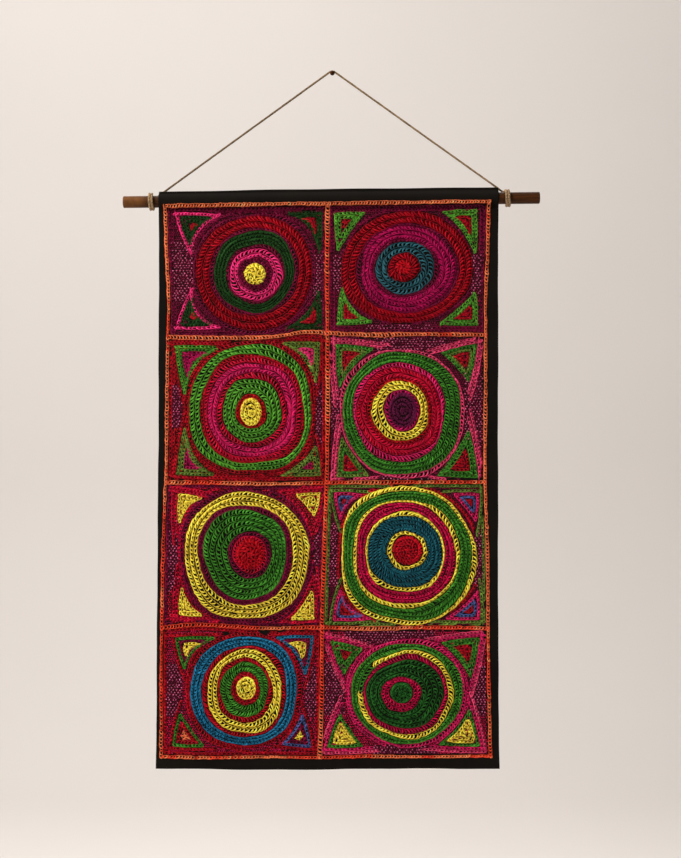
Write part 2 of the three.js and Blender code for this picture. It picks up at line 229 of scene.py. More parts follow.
def twistedTwine(name, path, diameter, strands, twistLength, material):
    # Plies laid round the path, each as a tube of its own
    step = twistLength / twineSettings["stepsPerTwist"]
    path = respaced(path, int(lengthAlong(np.asarray(path, float))[-1] / step))
    run = lengthAlong(path)
    along = unit(np.gradient(path, axis=0))
    reference = np.array([0.0, 1.0, 0.0])
    if np.abs(along @ reference).max() > 0.9:
        reference = np.array([1.0, 0.0, 0.0])
    first = unit(np.cross(along, reference))
    second = np.cross(along, first)
    plyRadius = diameter * twineSettings["plyShare"]
    offset = diameter / 2 - plyRadius
    plies = []
    for ply in range(strands):
        turn = run / twistLength * 2 * math.pi + ply / strands * 2 * math.pi
        uneven = 1 + 0.06 * np.sin(run / 7.3 + 2 * ply)
        outward = np.cos(turn)[:, None] * first + np.sin(turn)[:, None] * second
        plies.append(path + offset * uneven[:, None] * outward)
    centres = np.stack(plies)
    size = plyRadius * (1.04 + 0.07 * np.sin(run / 4.1)[None] * np.ones((strands, 1)))
    # The ends are teased out to a point
    toEnd = np.minimum(run, run[-1] - run)
    size = size * np.sqrt(np.clip(toEnd / twineSettings["taper"], 0.001, 1))
    points, quads, share = tubes(centres, size, size, np.broadcast_to(first, centres.shape),
                                 twineSettings["sides"])
    share = np.tile(share, (strands, 1, 1))
    ply = np.repeat(np.arange(strands), len(share) // strands)[:, None]
    bakeUv = np.stack([share[..., 0], (ply + 0.04 + 0.92 * share[..., 1]) / strands], -1)
    runUv = np.stack([share[..., 0] * run[-1] + 97 * ply, share[..., 1]], -1)
    return meshPiece(name, points, quads, material, bakeUv, runUv)


lashingJute = juteTwine("jute_twine_new", 0.72, 1.22, 0.95)
cordJute = juteTwine("jute_twine_shaded_left", 0.56, 1.0, 0.62)
for side in ("left", "right"):
    ends = lashingSettings[side]
    turns = lashingSettings["turns"]
    share = np.linspace(0, 1, 90 * turns)
    angle = math.radians(ends["start"]) + share * turns * 2 * math.pi
    sunk = np.minimum(1, np.minimum(share, 1 - share) * turns * 5)  # each end is tucked under the next turn
    half = lashingSettings["diameter"] / 2
    radius = rod["radius"] + lashingSettings["lift"] + half - lashingSettings["tuck"] * (1 - sunk)
    x = ends["from"] + half + share * (ends["to"] - ends["from"] - 2 * half)
    x = x + lashingSettings["waver"] * np.sin(3 * angle)
    path = np.stack([x, -rod["axisFromWall"] - radius * np.sin(angle),
                     rodAxisZ(x) + radius * np.cos(angle)], 1)
    piece = twistedTwine(f"lashing_twine_{side}", path, lashingSettings["diameter"],
                         lashingSettings["strands"], lashingSettings["twistLength"], lashingJute)
    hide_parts(f"lashing_{side}")

cordPath = rounded(cordSettings["route"], 6)
cord = twistedTwine("jute_cord", cordPath, cordSettings["diameter"], cordSettings["strands"],
                    cordSettings["twistLength"], cordJute)
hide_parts("hanging_cord")
print("cord and lashings laid")

# Rod and nail: the CAD solids stay and get their finish


def stainedBeech():
    # Beech dowel under a dark walnut stain: fine grain along it, and a mottled painted highlight at the
    # left end, where the light falls
    material = newMaterial("stained_beech_dowel")
    place = addNode(material, "ShaderNodeTexCoord")
    # Grain lines 0.8 mm apart and 60 mm long
    grainPlace = addNode(material, "ShaderNodeMapping", None,
                         {"Vector": place.outputs["Object"], "Scale": (16.0, 1250.0, 1250.0)})
    grain = addNode(material, "ShaderNodeTexNoise", None,
                    {"Vector": grainPlace.outputs["Vector"], "Scale": 1.0, "Detail": 5.0,
                     "Distortion": 0.4})
    tone = addNode(material, "ShaderNodeValToRGB", None, {"Fac": grain.outputs["Fac"]})
    tone.color_ramp.elements[0].position, tone.color_ramp.elements[0].color = 0.34, rgba("#1c0f03")
    tone.color_ramp.elements[1].position, tone.color_ramp.elements[1].color = 0.68, rgba("#4e290a")
    along = addNode(material, "ShaderNodeSeparateXYZ", None, {"Vector": place.outputs["Object"]})
    # Painted light: the left end is mixed towards a paler brown in mottled patches
    litLeftEnd = addNode(material, "ShaderNodeMapRange", None,
                     {"Value": along.outputs["X"], "From Min": -0.312, "From Max": -0.288,
                                                            "To Min": 1.0, "To Max": 0.0})
    patch = addNode(material, "ShaderNodeTexNoise", None,
                    {"Vector": place.outputs["Object"], "Scale": 90.0, "Detail": 2.0})
    paintedLight = addNode(material, "ShaderNodeMath", {"operation": "MULTIPLY"},
                   {0: litLeftEnd.outputs["Result"], 1: patch.outputs["Fac"]})
    colour = addNode(material, "ShaderNodeMix", {"data_type": "RGBA"},
                     {"Factor": paintedLight.outputs["Value"], "A": tone.outputs["Color"], "B": rgba("#7a4f28")})
    bump = addNode(material, "ShaderNodeBump", None,
                   {"Height": grain.outputs["Fac"], "Strength": 0.5, "Distance": 0.0003})
    roughness = addNode(material, "ShaderNodeMapRange", None,
                        {"Value": grain.outputs["Fac"], "To Min": 0.42, "To Max": 0.68})
    return finishMaterial(material,
                          {"Base Color": colour.outputs["Result"], "Roughness": roughness.outputs["Result"],
                                     "Specular IOR Level": 0.12, "Normal": bump.outputs["Normal"]})


def brownedSteel():
    # Oil-browned steel nail: dark, half matt, with small pits from the hammer
    material = newMaterial("browned_steel")
    place = addNode(material, "ShaderNodeTexCoord")
    pits = addNode(material, "ShaderNodeTexNoise", None,
                   {"Vector": place.outputs["Object"], "Scale": 700.0, "Detail": 3.0})
    tone = addNode(material, "ShaderNodeValToRGB", None, {"Fac": pits.outputs["Fac"]})
    tone.color_ramp.elements[0].position, tone.color_ramp.elements[0].color = 0.35, rgba("#2a160b")
    tone.color_ramp.elements[1].position, tone.color_ramp.elements[1].color = 0.7, rgba("#4e2d1a")
    bump = addNode(material, "ShaderNodeBump", None,
                   {"Height": pits.outputs["Fac"], "Strength": 0.4, "Distance": 0.0002})
    roughness = addNode(material, "ShaderNodeMapRange", None,
                        {"Value": pits.outputs["Fac"], "To Min": 0.35, "To Max": 0.6})
    return finishMaterial(material,
                          {"Base Color": tone.outputs["Color"], "Metallic": 1.0,
                           "Roughness": roughness.outputs["Result"],
                                     "Normal": bump.outputs["Normal"]})


for nodeName, material in (("wooden_rod", stainedBeech()), ("wall_nail", brownedSteel())):
    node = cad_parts[nodeName]
    node.data.materials.clear()
    node.data.materials.append(material)
print("rod and nail finished")

# Black cotton cloth: one sheet up the front, round the rod, and down to the seam behind

clothSettings = {
    "thickness": 1.4, "seamUp": -15, "topZ": -188, "bottomZ": -1113.6, "hemWidth": 13, "hemExtra": 1.1,
    "columns": 84, "rows": 120, "flat": (0.546, 0.972), "freeOver": 260, "hemLift": 2.5,
    "hemLiftOver": 60, "pucker": 0.32, "creaseColumns": (-1.3, -18.9),
    "sideZ": [-1113.6, -870, -600, -188], "leftX": [-281.6, -279.6, -277.4, -276.8],
    "rightX": [267.0, 264.9, 264.3, 265.1],
    # Pressed and hung creases: from, to, width and height, where minus is a trough
    "creases": [((-1.3, -188), (-7, -700), 4.5, 0.5), ((-7, -700), (-18.9, -1113.6), 4.5, 0.6),
                ((-1.6, -1050), (-2.6, -1113.6), 4, 0.5), ((-262, -1098), (-246, -1113.6), 5, -0.9),
                ((190, -1113.6), (205, -1090), 7, -0.5), ((-276, -420), (-258, -470), 9, -0.6),
                ((262, -640), (246, -700), 9, -0.6), ((120, -188), (128, -210), 8, -0.4),
                ((-170, -188), (-164, -210), 8, -0.4)],
}
pocket = {"outer": 11.3, "creaseTop": 17, "creaseFrom": 13.2, "tail": -26, "arcEndUp": -7.85,
          "arcEndOut": 8.13, "seamOut": 1.5}


def smooth(value, low, high):
    t = np.clip((value - low) / (high - low), 0, 1)
    return t * t * (3 - 2 * t)


def creasesAt(x, z):
    total = np.zeros(np.broadcast(x, z).shape)
    for (ax, az), (bx, bz), width, height in clothSettings["creases"]:
        reach = math.hypot(bx - ax, bz - az)
        ux, uz = (bx - ax) / reach, (bz - az) / reach
        along = (x - ax) * ux + (z - az) * uz
        aside = (x - ax) * -uz + (z - az) * ux
        ends = smooth(along, -0.15 * reach, 0.1 * reach) * (1 - smooth(along, 0.9 * reach, 1.15 * reach))
        total = total + height * ends * np.exp(-((aside / width) ** 2) * 2)
    return total


def clothFront(x, z):
    # How far the cloth's face lies from the wall: the CAD's waves, then creases and the pucker of the
    # stitching
    up = z - rodAxisZ(x)
    arc = np.sqrt(np.maximum(pocket["outer"] ** 2 - up ** 2, 0.01))
    ramp = np.interp(up, [clothSettings["seamUp"], pocket["arcEndUp"]],
                     [pocket["seamOut"], pocket["arcEndOut"]])
    freed = smooth(clothSettings["seamUp"] - up, 0, clothSettings["freeOver"])
    waves = 2.4 * np.sin(x / 110 + z / 260 + 0.6) + 0.9 * np.sin(x / 85 - z / 140)
    bottom = -clothSettings["bottomZ"]
    hemLift = clothSettings["hemLift"] * smooth(-z, bottom - clothSettings["hemLiftOver"], bottom)
    near = smooth(clothSettings["seamUp"] - up, 0, 30)
    puckerAcross = np.sin(x / 8.3 + 1.4 * np.sin(z / 33))
    puckerAlong = np.sin(z / 9.7 + 1.2 * np.sin(x / 29))
    pucker = clothSettings["pucker"] * puckerAcross * puckerAlong
    return (rod["axisFromWall"] + np.where(up > pocket["arcEndUp"], arc, ramp) + freed * waves + hemLift
            + near * (pucker + creasesAt(x, z)))


def clothNormal(x, z):
    step = 0.4
    across = (clothFront(x + step, z) - clothFront(x - step, z)) / (2 * step)
    upward = (clothFront(x, z + step) - clothFront(x, z - step)) / (2 * step)
    return unit(np.stack([-across, -np.ones_like(across), -upward], axis=-1))


def blackCotton():
    # Plain-weave cotton dyed black and pressed: matt, with a faint brown cast and lint where it was handled
    material = newMaterial("black_cotton")
    run = addNode(material, "ShaderNodeUVMap", {"uv_map": "run"})
    place = addNode(material, "ShaderNodeTexCoord")
    # Real threads are 0.5 mm apart, drawn 1.3 mm apart so that they show. The run map is in millimetres.
    threads = 2 * math.pi / 20 / 1.3
    warp = addNode(material, "ShaderNodeTexWave", {"bands_direction": "X"},
                   {"Vector": run.outputs["UV"], "Scale": threads, "Distortion": 0.6, "Detail": 1.0})
    weft = addNode(material, "ShaderNodeTexWave", {"bands_direction": "Y"},
                   {"Vector": run.outputs["UV"], "Scale": threads, "Distortion": 0.6, "Detail": 1.0})
    weave = addNode(material, "ShaderNodeMath", {"operation": "MULTIPLY"},
                    {0: warp.outputs["Fac"], 1: weft.outputs["Fac"]})
    wear = addNode(material, "ShaderNodeTexNoise", None,
                   {"Vector": place.outputs["Object"], "Scale": 22.0, "Detail": 6.0, "Roughness": 0.65})
    tone = addNode(material, "ShaderNodeValToRGB", None, {"Fac": wear.outputs["Fac"]})
    tone.color_ramp.elements[0].position, tone.color_ramp.elements[0].color = 0.3, rgba("#0b0907")
    tone.color_ramp.elements[1].position, tone.color_ramp.elements[1].color = 0.75, rgba("#15110d")
    # Painted shade and highlight of the weave: darker between the threads, paler on them
    colour = multiply(material, tone.outputs["Color"], weave.outputs["Value"], 0.75, 1.35)
    bump = addNode(material, "ShaderNodeBump", None,
                   {"Height": weave.outputs["Value"], "Strength": 0.5, "Distance": 0.0003})
    return finishMaterial(material,
                          {"Base Color": colour, "Roughness": 0.95, "Specular IOR Level": 0.12,
                           "Normal": bump.outputs["Normal"]})


def pocketLine():
    # The middle of the cloth from the front of the seam over the rod to the tail behind, as (in front of
    # the axis, up)
    half = clothSettings["thickness"] / 2
    radius = pocket["outer"] - half
    angles = np.radians(np.linspace(134, 40, 20))
    front = np.stack([radius * np.sin(angles), radius * np.cos(angles)], 1)
    fold = np.radians(np.linspace(0, 180, 7))
    creaseUp = pocket["creaseTop"] - half + half * np.sin(fold)
    creaseEdge = np.stack([(half + 0.05) * np.cos(fold), creaseUp], 1)
    neck = np.array([[2.6, 11.9], [half + 0.05, pocket["creaseFrom"]], [half + 0.05, 15]])
    behind = np.vstack([neck[::-1], front[::-1]]) * np.array([-1, 1])
    tail = np.array([[-half - 0.1, clothSettings["seamUp"]], [-half - 0.1, -20],
                     [-half - 0.1, pocket["tail"]]])
    return np.vstack([front, neck, creaseEdge, behind, tail])


def makeCloth():
    settings = clothSettings
    columns = np.linspace(0, 1, settings["columns"] + 1)
    topLeft, topRight = settings["leftX"][3], settings["rightX"][3]
    for creaseX in settings["creaseColumns"]:  # closer columns where the long crease needs them
        near = (creaseX - topLeft) / (topRight - topLeft)
        columns = np.append(columns, near + np.array([-0.009, -0.005, -0.0022, 0.0022, 0.005, 0.009]))
    hem = settings["hemWidth"] / (topRight - topLeft)
    hemColumns = [0.002, hem, hem + 0.002, 1 - hem - 0.002, 1 - hem, 0.998]
    columns = np.unique(np.append(columns, hemColumns).round(5))
    height = settings["topZ"] - settings["bottomZ"]
    hemRows = [0.9985, 1 - settings["hemWidth"] / height, 1 - (settings["hemWidth"] + 1.5) / height]
    rows = np.unique(np.append(np.linspace(1, 0, settings["rows"] + 1), hemRows).round(5))[::-1]
    line = pocketLine()
    s = columns[None, :]
    roughX = topLeft + s * (topRight - topLeft)
    z = (rodAxisZ(roughX) + settings["seamUp"]) * (1 - rows[:, None]) + settings["bottomZ"] * rows[:, None]
    left = np.interp(z, settings["sideZ"], settings["leftX"])
    right = np.interp(z, settings["sideZ"], settings["rightX"])
    waver = 0.5 * np.sin(z / 37 + 1) + 0.3 * np.sin(z / 13)  # the edges aren't quite straight
    x = left + s * (right - left) + waver * (s - 0.5)
    z = z + rows[:, None] ** 20 * (0.6 * np.sin(x / 60) + 0.3 * np.sin(x / 19))
    sheet = np.stack([x, -(clothFront(x, z) - settings["thickness"] / 2), z], -1)
    px = np.broadcast_to(roughX, (len(line), len(columns))) + 0.4 * (s - 0.5) * np.sin(line[:, 1:2] / 6)
    lift = (0.25 * np.sin(px / 23) - 1.7 * smooth(-px, 60, 270)) * smooth(line[:, 1:2], 8, 17)
    out = rod["axisFromWall"] + line[:, 0:1] + 0.3 * np.sin(px / 41) * smooth(line[:, 1:2], 9, 17)
    sleeve = np.stack([px, -out, rodAxisZ(px) + line[:, 1:2] + lift], -1)
    middle = np.vstack([sheet, sleeve])
    count, width = middle.shape[:2]
    outward = unit(np.cross(np.gradient(middle, axis=1), np.gradient(middle, axis=0)))
    sideHem = smooth(np.minimum(s, 1 - s), hem + 0.0015, hem)
    down = np.append(rows, np.zeros(len(line)))[:, None]
    bottomHem = smooth(down, 1 - (settings["hemWidth"] + 1) / height, 1 - settings["hemWidth"] / height)
    inHem = np.minimum(1, sideHem + bottomHem)
    inHem[len(rows):] = 0
    face = middle + outward * (settings["thickness"] / 2)
    back = middle - outward * (settings["thickness"] / 2 + settings["hemExtra"] * inHem)[..., None]
    j, i = np.meshgrid(np.arange(count - 1), np.arange(width - 1), indexing="ij")

    def at(row, column):
        return row * width + column

    faceQuads = np.stack([at(j, i), at(j, i + 1), at(j + 1, i + 1), at(j + 1, i)], -1).reshape(-1, 4)
    size = count * width
    backQuads = faceQuads[:, ::-1] + size
    border = np.concatenate([at(0, np.arange(width)), at(np.arange(1, count), width - 1),
                             at(count - 1, np.arange(width - 2, -1, -1)),
                             at(np.arange(count - 2, 0, -1), 0)])
    following = np.roll(border, -1)
    middleEdge = (face.reshape(-1, 3)[border] + back.reshape(-1, 3)[border]) / 2
    push = np.zeros_like(middleEdge)
    push[:, 0] = np.where(np.isin(border % width, [0]), -0.5, np.where(border % width == width - 1, 0.5, 0))
    push[:, 2] = np.where(border < width, -0.5, 0)
    middleEdge = middleEdge + push
    edgeAt = 2 * size + np.arange(len(border))
    edgeNext = np.roll(edgeAt, -1)
    edgeQuads = np.vstack([np.stack([following, border, edgeAt, edgeNext], 1),
                           np.stack([edgeNext, edgeAt, border + size, following + size], 1)])
    points = np.vstack([face.reshape(-1, 3), back.reshape(-1, 3), middleEdge])
    quads = np.vstack([faceQuads, backQuads, edgeQuads])
    # Millimetres across and along the cloth, for the weave
    along = np.concatenate([[0], np.cumsum(np.linalg.norm(np.diff(middle[:, width // 2], axis=0), axis=1))])
    flat = np.stack([np.broadcast_to(columns * (topRight - topLeft), (count, width)),
                     np.broadcast_to(along[:, None], (count, width))], -1).reshape(-1, 2)
    flat = np.vstack([flat, flat, flat[border]])
    runUv = flat[quads]
    share = flat / np.array([topRight - topLeft, along[-1]])
    share = np.clip(share, 0, 1) * np.array([0.48, 0.96]) + np.array([0.01, 0.02])
    bakeUv = share[quads]
    bakeUv[len(faceQuads):len(faceQuads) + len(backQuads), :, 0] += 0.5
    piece = meshPiece("black_cotton_cloth", points, quads, blackCotton(), bakeUv,
                      runUv)
    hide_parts("embroidered_cloth")
    return piece


cloth = makeCloth()
print("cloth made:", len(cloth.data.polygons), "faces")

# Stitching

yarnHex = {
    "orange": "#dc6a42", "vermilion": "#d23c26", "red": "#920a18", "brightRed": "#9e0a16",
    "darkRed": "#960c12", "cherry": "#aa0c2a", "crimson": "#a60c3a", "rose": "#bc1a54",
    "hotPink": "#dc2a6e", "pink": "#cc3862", "magenta": "#920c44", "mauve": "#bc5a80",
    "plum": "#640a2c", "aubergine": "#4c1030", "darkGreen": "#163614", "forest": "#1a4c1a",
    "green": "#327020", "brightGreen": "#478828", "olive": "#56702a", "yellow": "#e6c83e",
    "teal": "#24525e", "petrol": "#144a58", "blue": "#185f84", "violet": "#405088",
}
# Ways of working a row: the length of a stitch, the yarn's width, how far the rungs slant, how high the
# loop stands, how thin its sides are pulled, and how much of the room between two edges its rows take up.
# Under is how dark a stitch laid in the loop first is painted, a painted shade in the hole of the loop, so
# that no black shows.
stitchKinds = {
    "open": {"pitch": 6.6, "yarn": 2.6, "slant": 0.8, "height": 1.0, "rail": 0.8, "cover": 0.97},
    "close": {"pitch": 5.3, "yarn": 2.4, "slant": 0.85, "height": 0.9, "rail": 0.75, "cover": 1.0},
    "dense": {"pitch": 4.7, "yarn": 2.4, "slant": 1.0, "height": 0.9, "rail": 0.65, "cover": 1.1},
    "fine": {"pitch": 6.0, "yarn": 1.9, "slant": 0.6, "height": 0.7, "rail": 1.0, "cover": 1.0},
    "slits": {"pitch": 5.4, "yarn": 2.3, "slant": 0.9, "height": 1.1, "rail": 0.85, "cover": 0.98,
              "under": 0.3},
    "frame": {"pitch": 5.0, "yarn": 2.2, "slant": 0.45, "height": 0.9, "rail": 0.95, "cover": 1.0},
}
# One loop of open chain: along the row, across it, above the cloth, share of the yarn's width, and painted
# shade. Its ends go down inside the loop before and are painted darker as shade, and its head lies on top
# and is painted paler as a highlight.
loop = np.array([
    (-0.12, -0.80, -0.9, 0.85, 0.3), (0.28, -1.0, 0.45, 0.85, 0.7), (0.90, -0.96, 0.8, 0.95, 1.05),
    (1.07, 0.0, 1.0, 1.1, 1.6),
    (0.90, 0.96, 0.8, 0.95, 1.05), (0.28, 1.0, 0.45, 0.85, 0.7), (-0.12, 0.80, -0.9, 0.85, 0.3),
])
dash = np.array([(-0.5, 0, -0.8), (0, 0, 0.8), (0.5, 0, -0.8)])
# Twist is the millimetres of yarn in one turn of its plies. Overlap is the share of a row's width that may
# lie under another row. Back is the short dash that each stitch leaves behind the cloth.
yarnSettings = {
    "twist": 2.6, "overlap": 0.35, "flatness": 0.85,
    "back": {"reach": (0.12, 0.5, 0.88), "lift": (-0.5, 0.45, -0.5), "width": 0.8, "flatness": 0.7,
             "belowTail": 2},
}

ringWobble = {
    "left": 0.0, "right": 0.8, "perRow": 1.7, "share": 0.012, "least": 0.25, "perSize": 0.011,
    "waver": (0.9, 0.9, 0.7, 0.45), "waves": (2, 3, 5, 8),
}


def between(values, limits):
    return (values > limits[0]) & (values < limits[1])


def slowNoise(count, closed):
    # A gentle rise and fall along a row, between about -1 and 1
    run = np.arange(count) / max(count - 1, 1)
    waves = [chance.uniform(0.4, 1) * np.sin(2 * math.pi * (k * run + chance.random()))
             for k in (1, 2, 3, 5)]
    if not closed:
        waves.append(np.sin(2 * math.pi * (0.5 * run + chance.random())))
    return sum(waves) / 2


class Needlework:
    # The stitches of one piece, as growing lists of arrays
    def __init__(self):
        self.rows = []
        self.dashes = []

    def laid(self):
        if not self.rows:
            return np.zeros((0, 3))
        return np.vstack([np.column_stack([(row["a"] + row["b"]) / 2, row["half"]]) for row in self.rows])

    def addRow(self, path, yarn, width, kind, clearOf=None, keep=None, closed=False, wander=0.3, mix=None):
        settings = stitchKinds[kind]
        path = np.asarray(path, float)
        run = lengthAlong(path)
        total = run[-1]
        if total < 2 * settings["pitch"]:
            return
        count = max(2, round(total / settings["pitch"] / chance.normal(1, 0.06)))
        at = np.arange(count + 1) / count * total
        at[1:-1] += chance.uniform(-0.14, 0.14, count - 1) * settings["pitch"]
        points = np.stack([np.interp(at, run, path[:, k]) for k in (0, 1)], 1)
        along = np.gradient(points, axis=0)
        if closed:
            along[0] = along[-1] = points[1] - points[-2]
        aside = unit(np.stack([-along[:, 1], along[:, 0]], 1))
        drift = chance.normal(0, wander, count + 1)
        if closed:
            drift[-1] = drift[0]
        points = points + aside * drift[:, None]
        tightness = slowNoise(count, closed)  # the hand pulls tighter and looser along the row
        widths = np.interp((at[:-1] + at[1:]) / 2, run, np.broadcast_to(width, len(path)))
        half = widths / 2 * chance.normal(1, 0.05, count) * (1 + 0.03 * tightness)
        lean = settings["slant"] * chance.choice([-1, 1])
        slant = lean * (chance.normal(1, 0.22, count) + 0.5 * tightness)
        thick = settings["yarn"] * (1 + 0.08 * tightness) * chance.normal(1, 0.07, count)
        a, b = points[:-1], points[1:]
        use = np.ones(count, bool)
        middle = (a + b) / 2
        if clearOf is not None and len(clearOf):
            away = np.linalg.norm(middle[:, None] - clearOf[None, :, :2], axis=2)
            gap = away - clearOf[None, :, 2] - widths[:, None] / 2
            use &= gap.min(axis=1) > -yarnSettings["overlap"] * widths
        if keep is not None:
            use &= keep(middle)
        if not use.any():
            return
        shade = np.exp(chance.normal(0, 0.2, count) + 0.12 * slowNoise(count, closed))
        shade = shade * math.exp(chance.normal(0, 0.05))
        dye = np.array(linear(yarnHex[yarn]))[None]
        if mix:  # a second yarn taken up for stretches of the row
            taken = slowNoise(count, closed) + 0.3 * chance.normal(0, 1, count) + mix[1]
            second = smooth(taken, -0.15, 0.15)[:, None]
            dye = dye * (1 - second) + np.array(linear(yarnHex[mix[0]]))[None] * second
        colour = np.clip(dye * shade[:, None], 0, 1)
        self.rows.append({
            "a": a[use], "b": b[use], "sideA": aside[:-1][use], "sideB": aside[1:][use], "half": half[use],
            "yarn": thick[use], "rail": np.full(use.sum(), settings["rail"]), "slant": slant[use],
            "height": np.full(use.sum(), settings["height"]) * chance.normal(1, 0.12, use.sum()),
            "colour": colour[use],
        })
        # The stitch laid under the loop is painted darker: painted shade in the hole of the loop
        if "under" in settings:
            way = (b - a)[use]
            angles, lengths = np.arctan2(way[:, 1], way[:, 0]), np.linalg.norm(way, axis=1) * 1.2
            self.addDashes(middle[use], angles, [yarn] * use.sum(), lengths,
                           float(np.mean(widths - 1.5 * thick)), 0.3, settings["under"])

    def addDashes(self, middles, angles, yarns, lengths, width, height, shade=1.0):
        count = len(middles)
        if not count:
            return
        angle = angles + chance.normal(0, 0.3, count)
        dye = np.array([linear(yarnHex[yarn]) for yarn in yarns])
        # A shade below 1 is painted shade, for a stitch laid under a loop
        colour = dye * np.exp(chance.normal(0, 0.3, count))[:, None] * shade
        self.dashes.append({
            "at": np.asarray(middles), "way": np.stack([np.cos(angle), np.sin(angle)], 1),
            "length": np.asarray(lengths), "width": np.full(count, width), "height": np.full(count, height),
            "colour": np.clip(colour, 0, 1),
        })


def joined(parts, key):
    return np.concatenate([part[key] for part in parts])


def loopPoints(rows):
    a, b, sideA, sideB = (joined(rows, key)[:, None] for key in ("a", "b", "sideA", "sideB"))
    u, v, w = loop.T[:3]
    v = v[None] * np.ones((len(a), 1))
    u = u[None] + 0.5 * joined(rows, "slant")[:, None] * v
    half = joined(rows, "half")[:, None] - joined(rows, "yarn")[:, None] / 2
    flat = a * (1 - u[..., None]) + b * u[..., None]
    side = sideA * (1 - u[..., None]) + sideB * u[..., None]
    return flat + side * (v * half)[..., None], w[None] * joined(rows, "height")[:, None]


def onCloth(flat, lift):
    x, z = flat[..., 0], flat[..., 1]
    outward = clothNormal(x, z)
    return np.stack([x, -clothFront(x, z), z], -1) + outward * lift[..., None], outward


def sewn(name, work, material):
    batches = []
    if work.rows:
        flat, lift = loopPoints(work.rows)
        yarn = joined(work.rows, "yarn")
        centres, outward = onCloth(flat, lift)
        thinned = np.where(loop[None, :, 1] == 0, 1, joined(work.rows, "rail")[:, None])
        wide = yarn[:, None] / 2 * loop[None, :, 3] * thinned
        # The loop's last column paints shade at its buried ends and a highlight on its head
        batches.append((centres, wide, wide * yarnSettings["flatness"], outward, 4,
                        joined(work.rows, "colour"), loop[:, 4]))
        # Behind the cloth each stitch shows as one short straight dash, painted darker at its ends as shade
        # where it goes into the cloth
        back = yarnSettings["back"]
        a, b = joined(work.rows, "a"), joined(work.rows, "b")
        u = np.array(back["reach"])[None, :, None]
        flat = a[:, None] * (1 - u) + b[:, None] * u
        x, z = flat[..., 0], flat[..., 1]
        outward = -clothNormal(x, z)
        sheetBack = np.stack([x, -clothFront(x, z), z], -1) + outward * clothSettings["thickness"]
        centres = sheetBack + outward * np.array(back["lift"])[None, :, None]
        wide = np.repeat((yarn / 2 * back["width"])[:, None], 3, 1)
        belowSeam = z[:, 1] < rodAxisZ(x[:, 1]) + pocket["tail"] - back["belowTail"]
        batches.append((centres[belowSeam], wide[belowSeam], wide[belowSeam] * back["flatness"],
                        outward[belowSeam], 3,
                        joined(work.rows, "colour")[belowSeam], np.array([0.6, 1.0, 0.6])))
    if work.dashes:
        at, way, length, height = (joined(work.dashes, key) for key in ("at", "way", "length", "height"))
        flat = at[:, None] + way[:, None] * (dash[None, :, 0] * length[:, None])[..., None]
        centres, outward = onCloth(flat, dash[None, :, 2] * height[:, None])
        wide = joined(work.dashes, "width")[:, None] / 2 * np.array([0.8, 1.15, 0.8])
        # Each dash gets painted shade at its ends and a painted highlight at its middle
        batches.append((centres, wide, np.minimum(wide * yarnSettings["flatness"], 0.9), outward, 3,
                        joined(work.dashes, "colour"), np.array([0.6, 1.2, 0.6])))
    cells = sum(len(batch[0]) for batch in batches)
    grid = math.ceil(math.sqrt(cells))
    allPoints, allQuads, allBake, allRun, allColours, used, cell = [], [], [], [], [], 0, 0
    for centres, wide, high, outward, sides, colour, paintedShadeAlong in batches:
        points, quads, share = tubes(centres, wide, high, outward, sides)
        count = len(centres)
        number = cell + np.arange(count)
        corner = np.stack([number % grid, number // grid], 1)[:, None, None]
        bake = (corner + 0.06 + 0.88 * share[None]) / grid
        reach = np.linalg.norm(np.diff(centres, axis=1), axis=2).sum(1)[:, None, None]
        # Two plies, so two ridges to each turn of the twist
        twist = share[None, ..., 0] * reach / yarnSettings["twist"] * 2 + share[None, ..., 1] * 2
        twist = twist + number[:, None, None] * 0.37
        allPoints.append(points)
        allQuads.append(quads + used)
        allBake.append(bake.reshape(-1, 2))
        around = np.broadcast_to(share[None, ..., 1], twist.shape)
        allRun.append(np.stack([twist, around], -1).reshape(-1, 2))
        # Each stitch's colour times its painted shade and highlight along the tube
        shaded = np.clip(colour[:, None, None] * paintedShadeAlong[None, :, None, None], 0, 1)
        shaded = shaded * np.ones((1, 1, sides, 1))
        allColours.append(np.column_stack([shaded.reshape(-1, 3), np.ones(shaded.size // 3)]))
        used += len(points)
        cell += count
    piece = meshPiece(name, np.vstack(allPoints), np.vstack(allQuads), material,
                      np.vstack(allBake), np.vstack(allRun), np.vstack(allColours).astype(np.float32))
    print(name, cells, "stitches,", len(piece.data.polygons) * 2, "triangles")
    return piece


def pearlCotton():
    # Mercerised two-ply cotton yarn, dyed in strong colours: a soft silky glint along each twist, and
    # painted shade in the grooves between the plies
    material = newMaterial("pearl_cotton_yarn")
    # The colour attribute holds each stitch's dye together with the painted shade along its loop
    dye = addNode(material, "ShaderNodeVertexColor", {"layer_name": "yarnColourAndShade"})
    run = addNode(material, "ShaderNodeUVMap", {"uv_map": "run"})
    place = addNode(material, "ShaderNodeTexCoord")
    twist = addNode(material, "ShaderNodeTexWave", {"bands_direction": "X"},
                    {"Vector": run.outputs["UV"], "Scale": 2 * math.pi / 20})
    uneven = addNode(material, "ShaderNodeTexNoise", None,
                     {"Vector": place.outputs["Object"], "Scale": 160.0, "Detail": 3.0})
    # Painted shade and highlight: darker in the grooves between the plies, paler on their ridges
    grooveShaded = multiply(material, dye.outputs["Color"], twist.outputs["Fac"], 0.8, 1.15)
    colour = multiply(material, grooveShaded, uneven.outputs["Fac"], 0.7, 1.3)
    bump = addNode(material, "ShaderNodeBump", None,
                   {"Height": twist.outputs["Fac"], "Strength": 0.45, "Distance": 0.0003})
    # Light comes back out of the dyed fibre, so that the glints keep much of the yarn's colour
    glint = addNode(material, "ShaderNodeGamma", None, {"Color": dye.outputs["Color"], "Gamma": 0.45})
    return finishMaterial(material, {"Base Color": colour, "Roughness": 0.36, "Specular IOR Level": 0.6,
                                     "Specular Tint": glint.outputs["Color"],
                                     "Normal": bump.outputs["Normal"]})


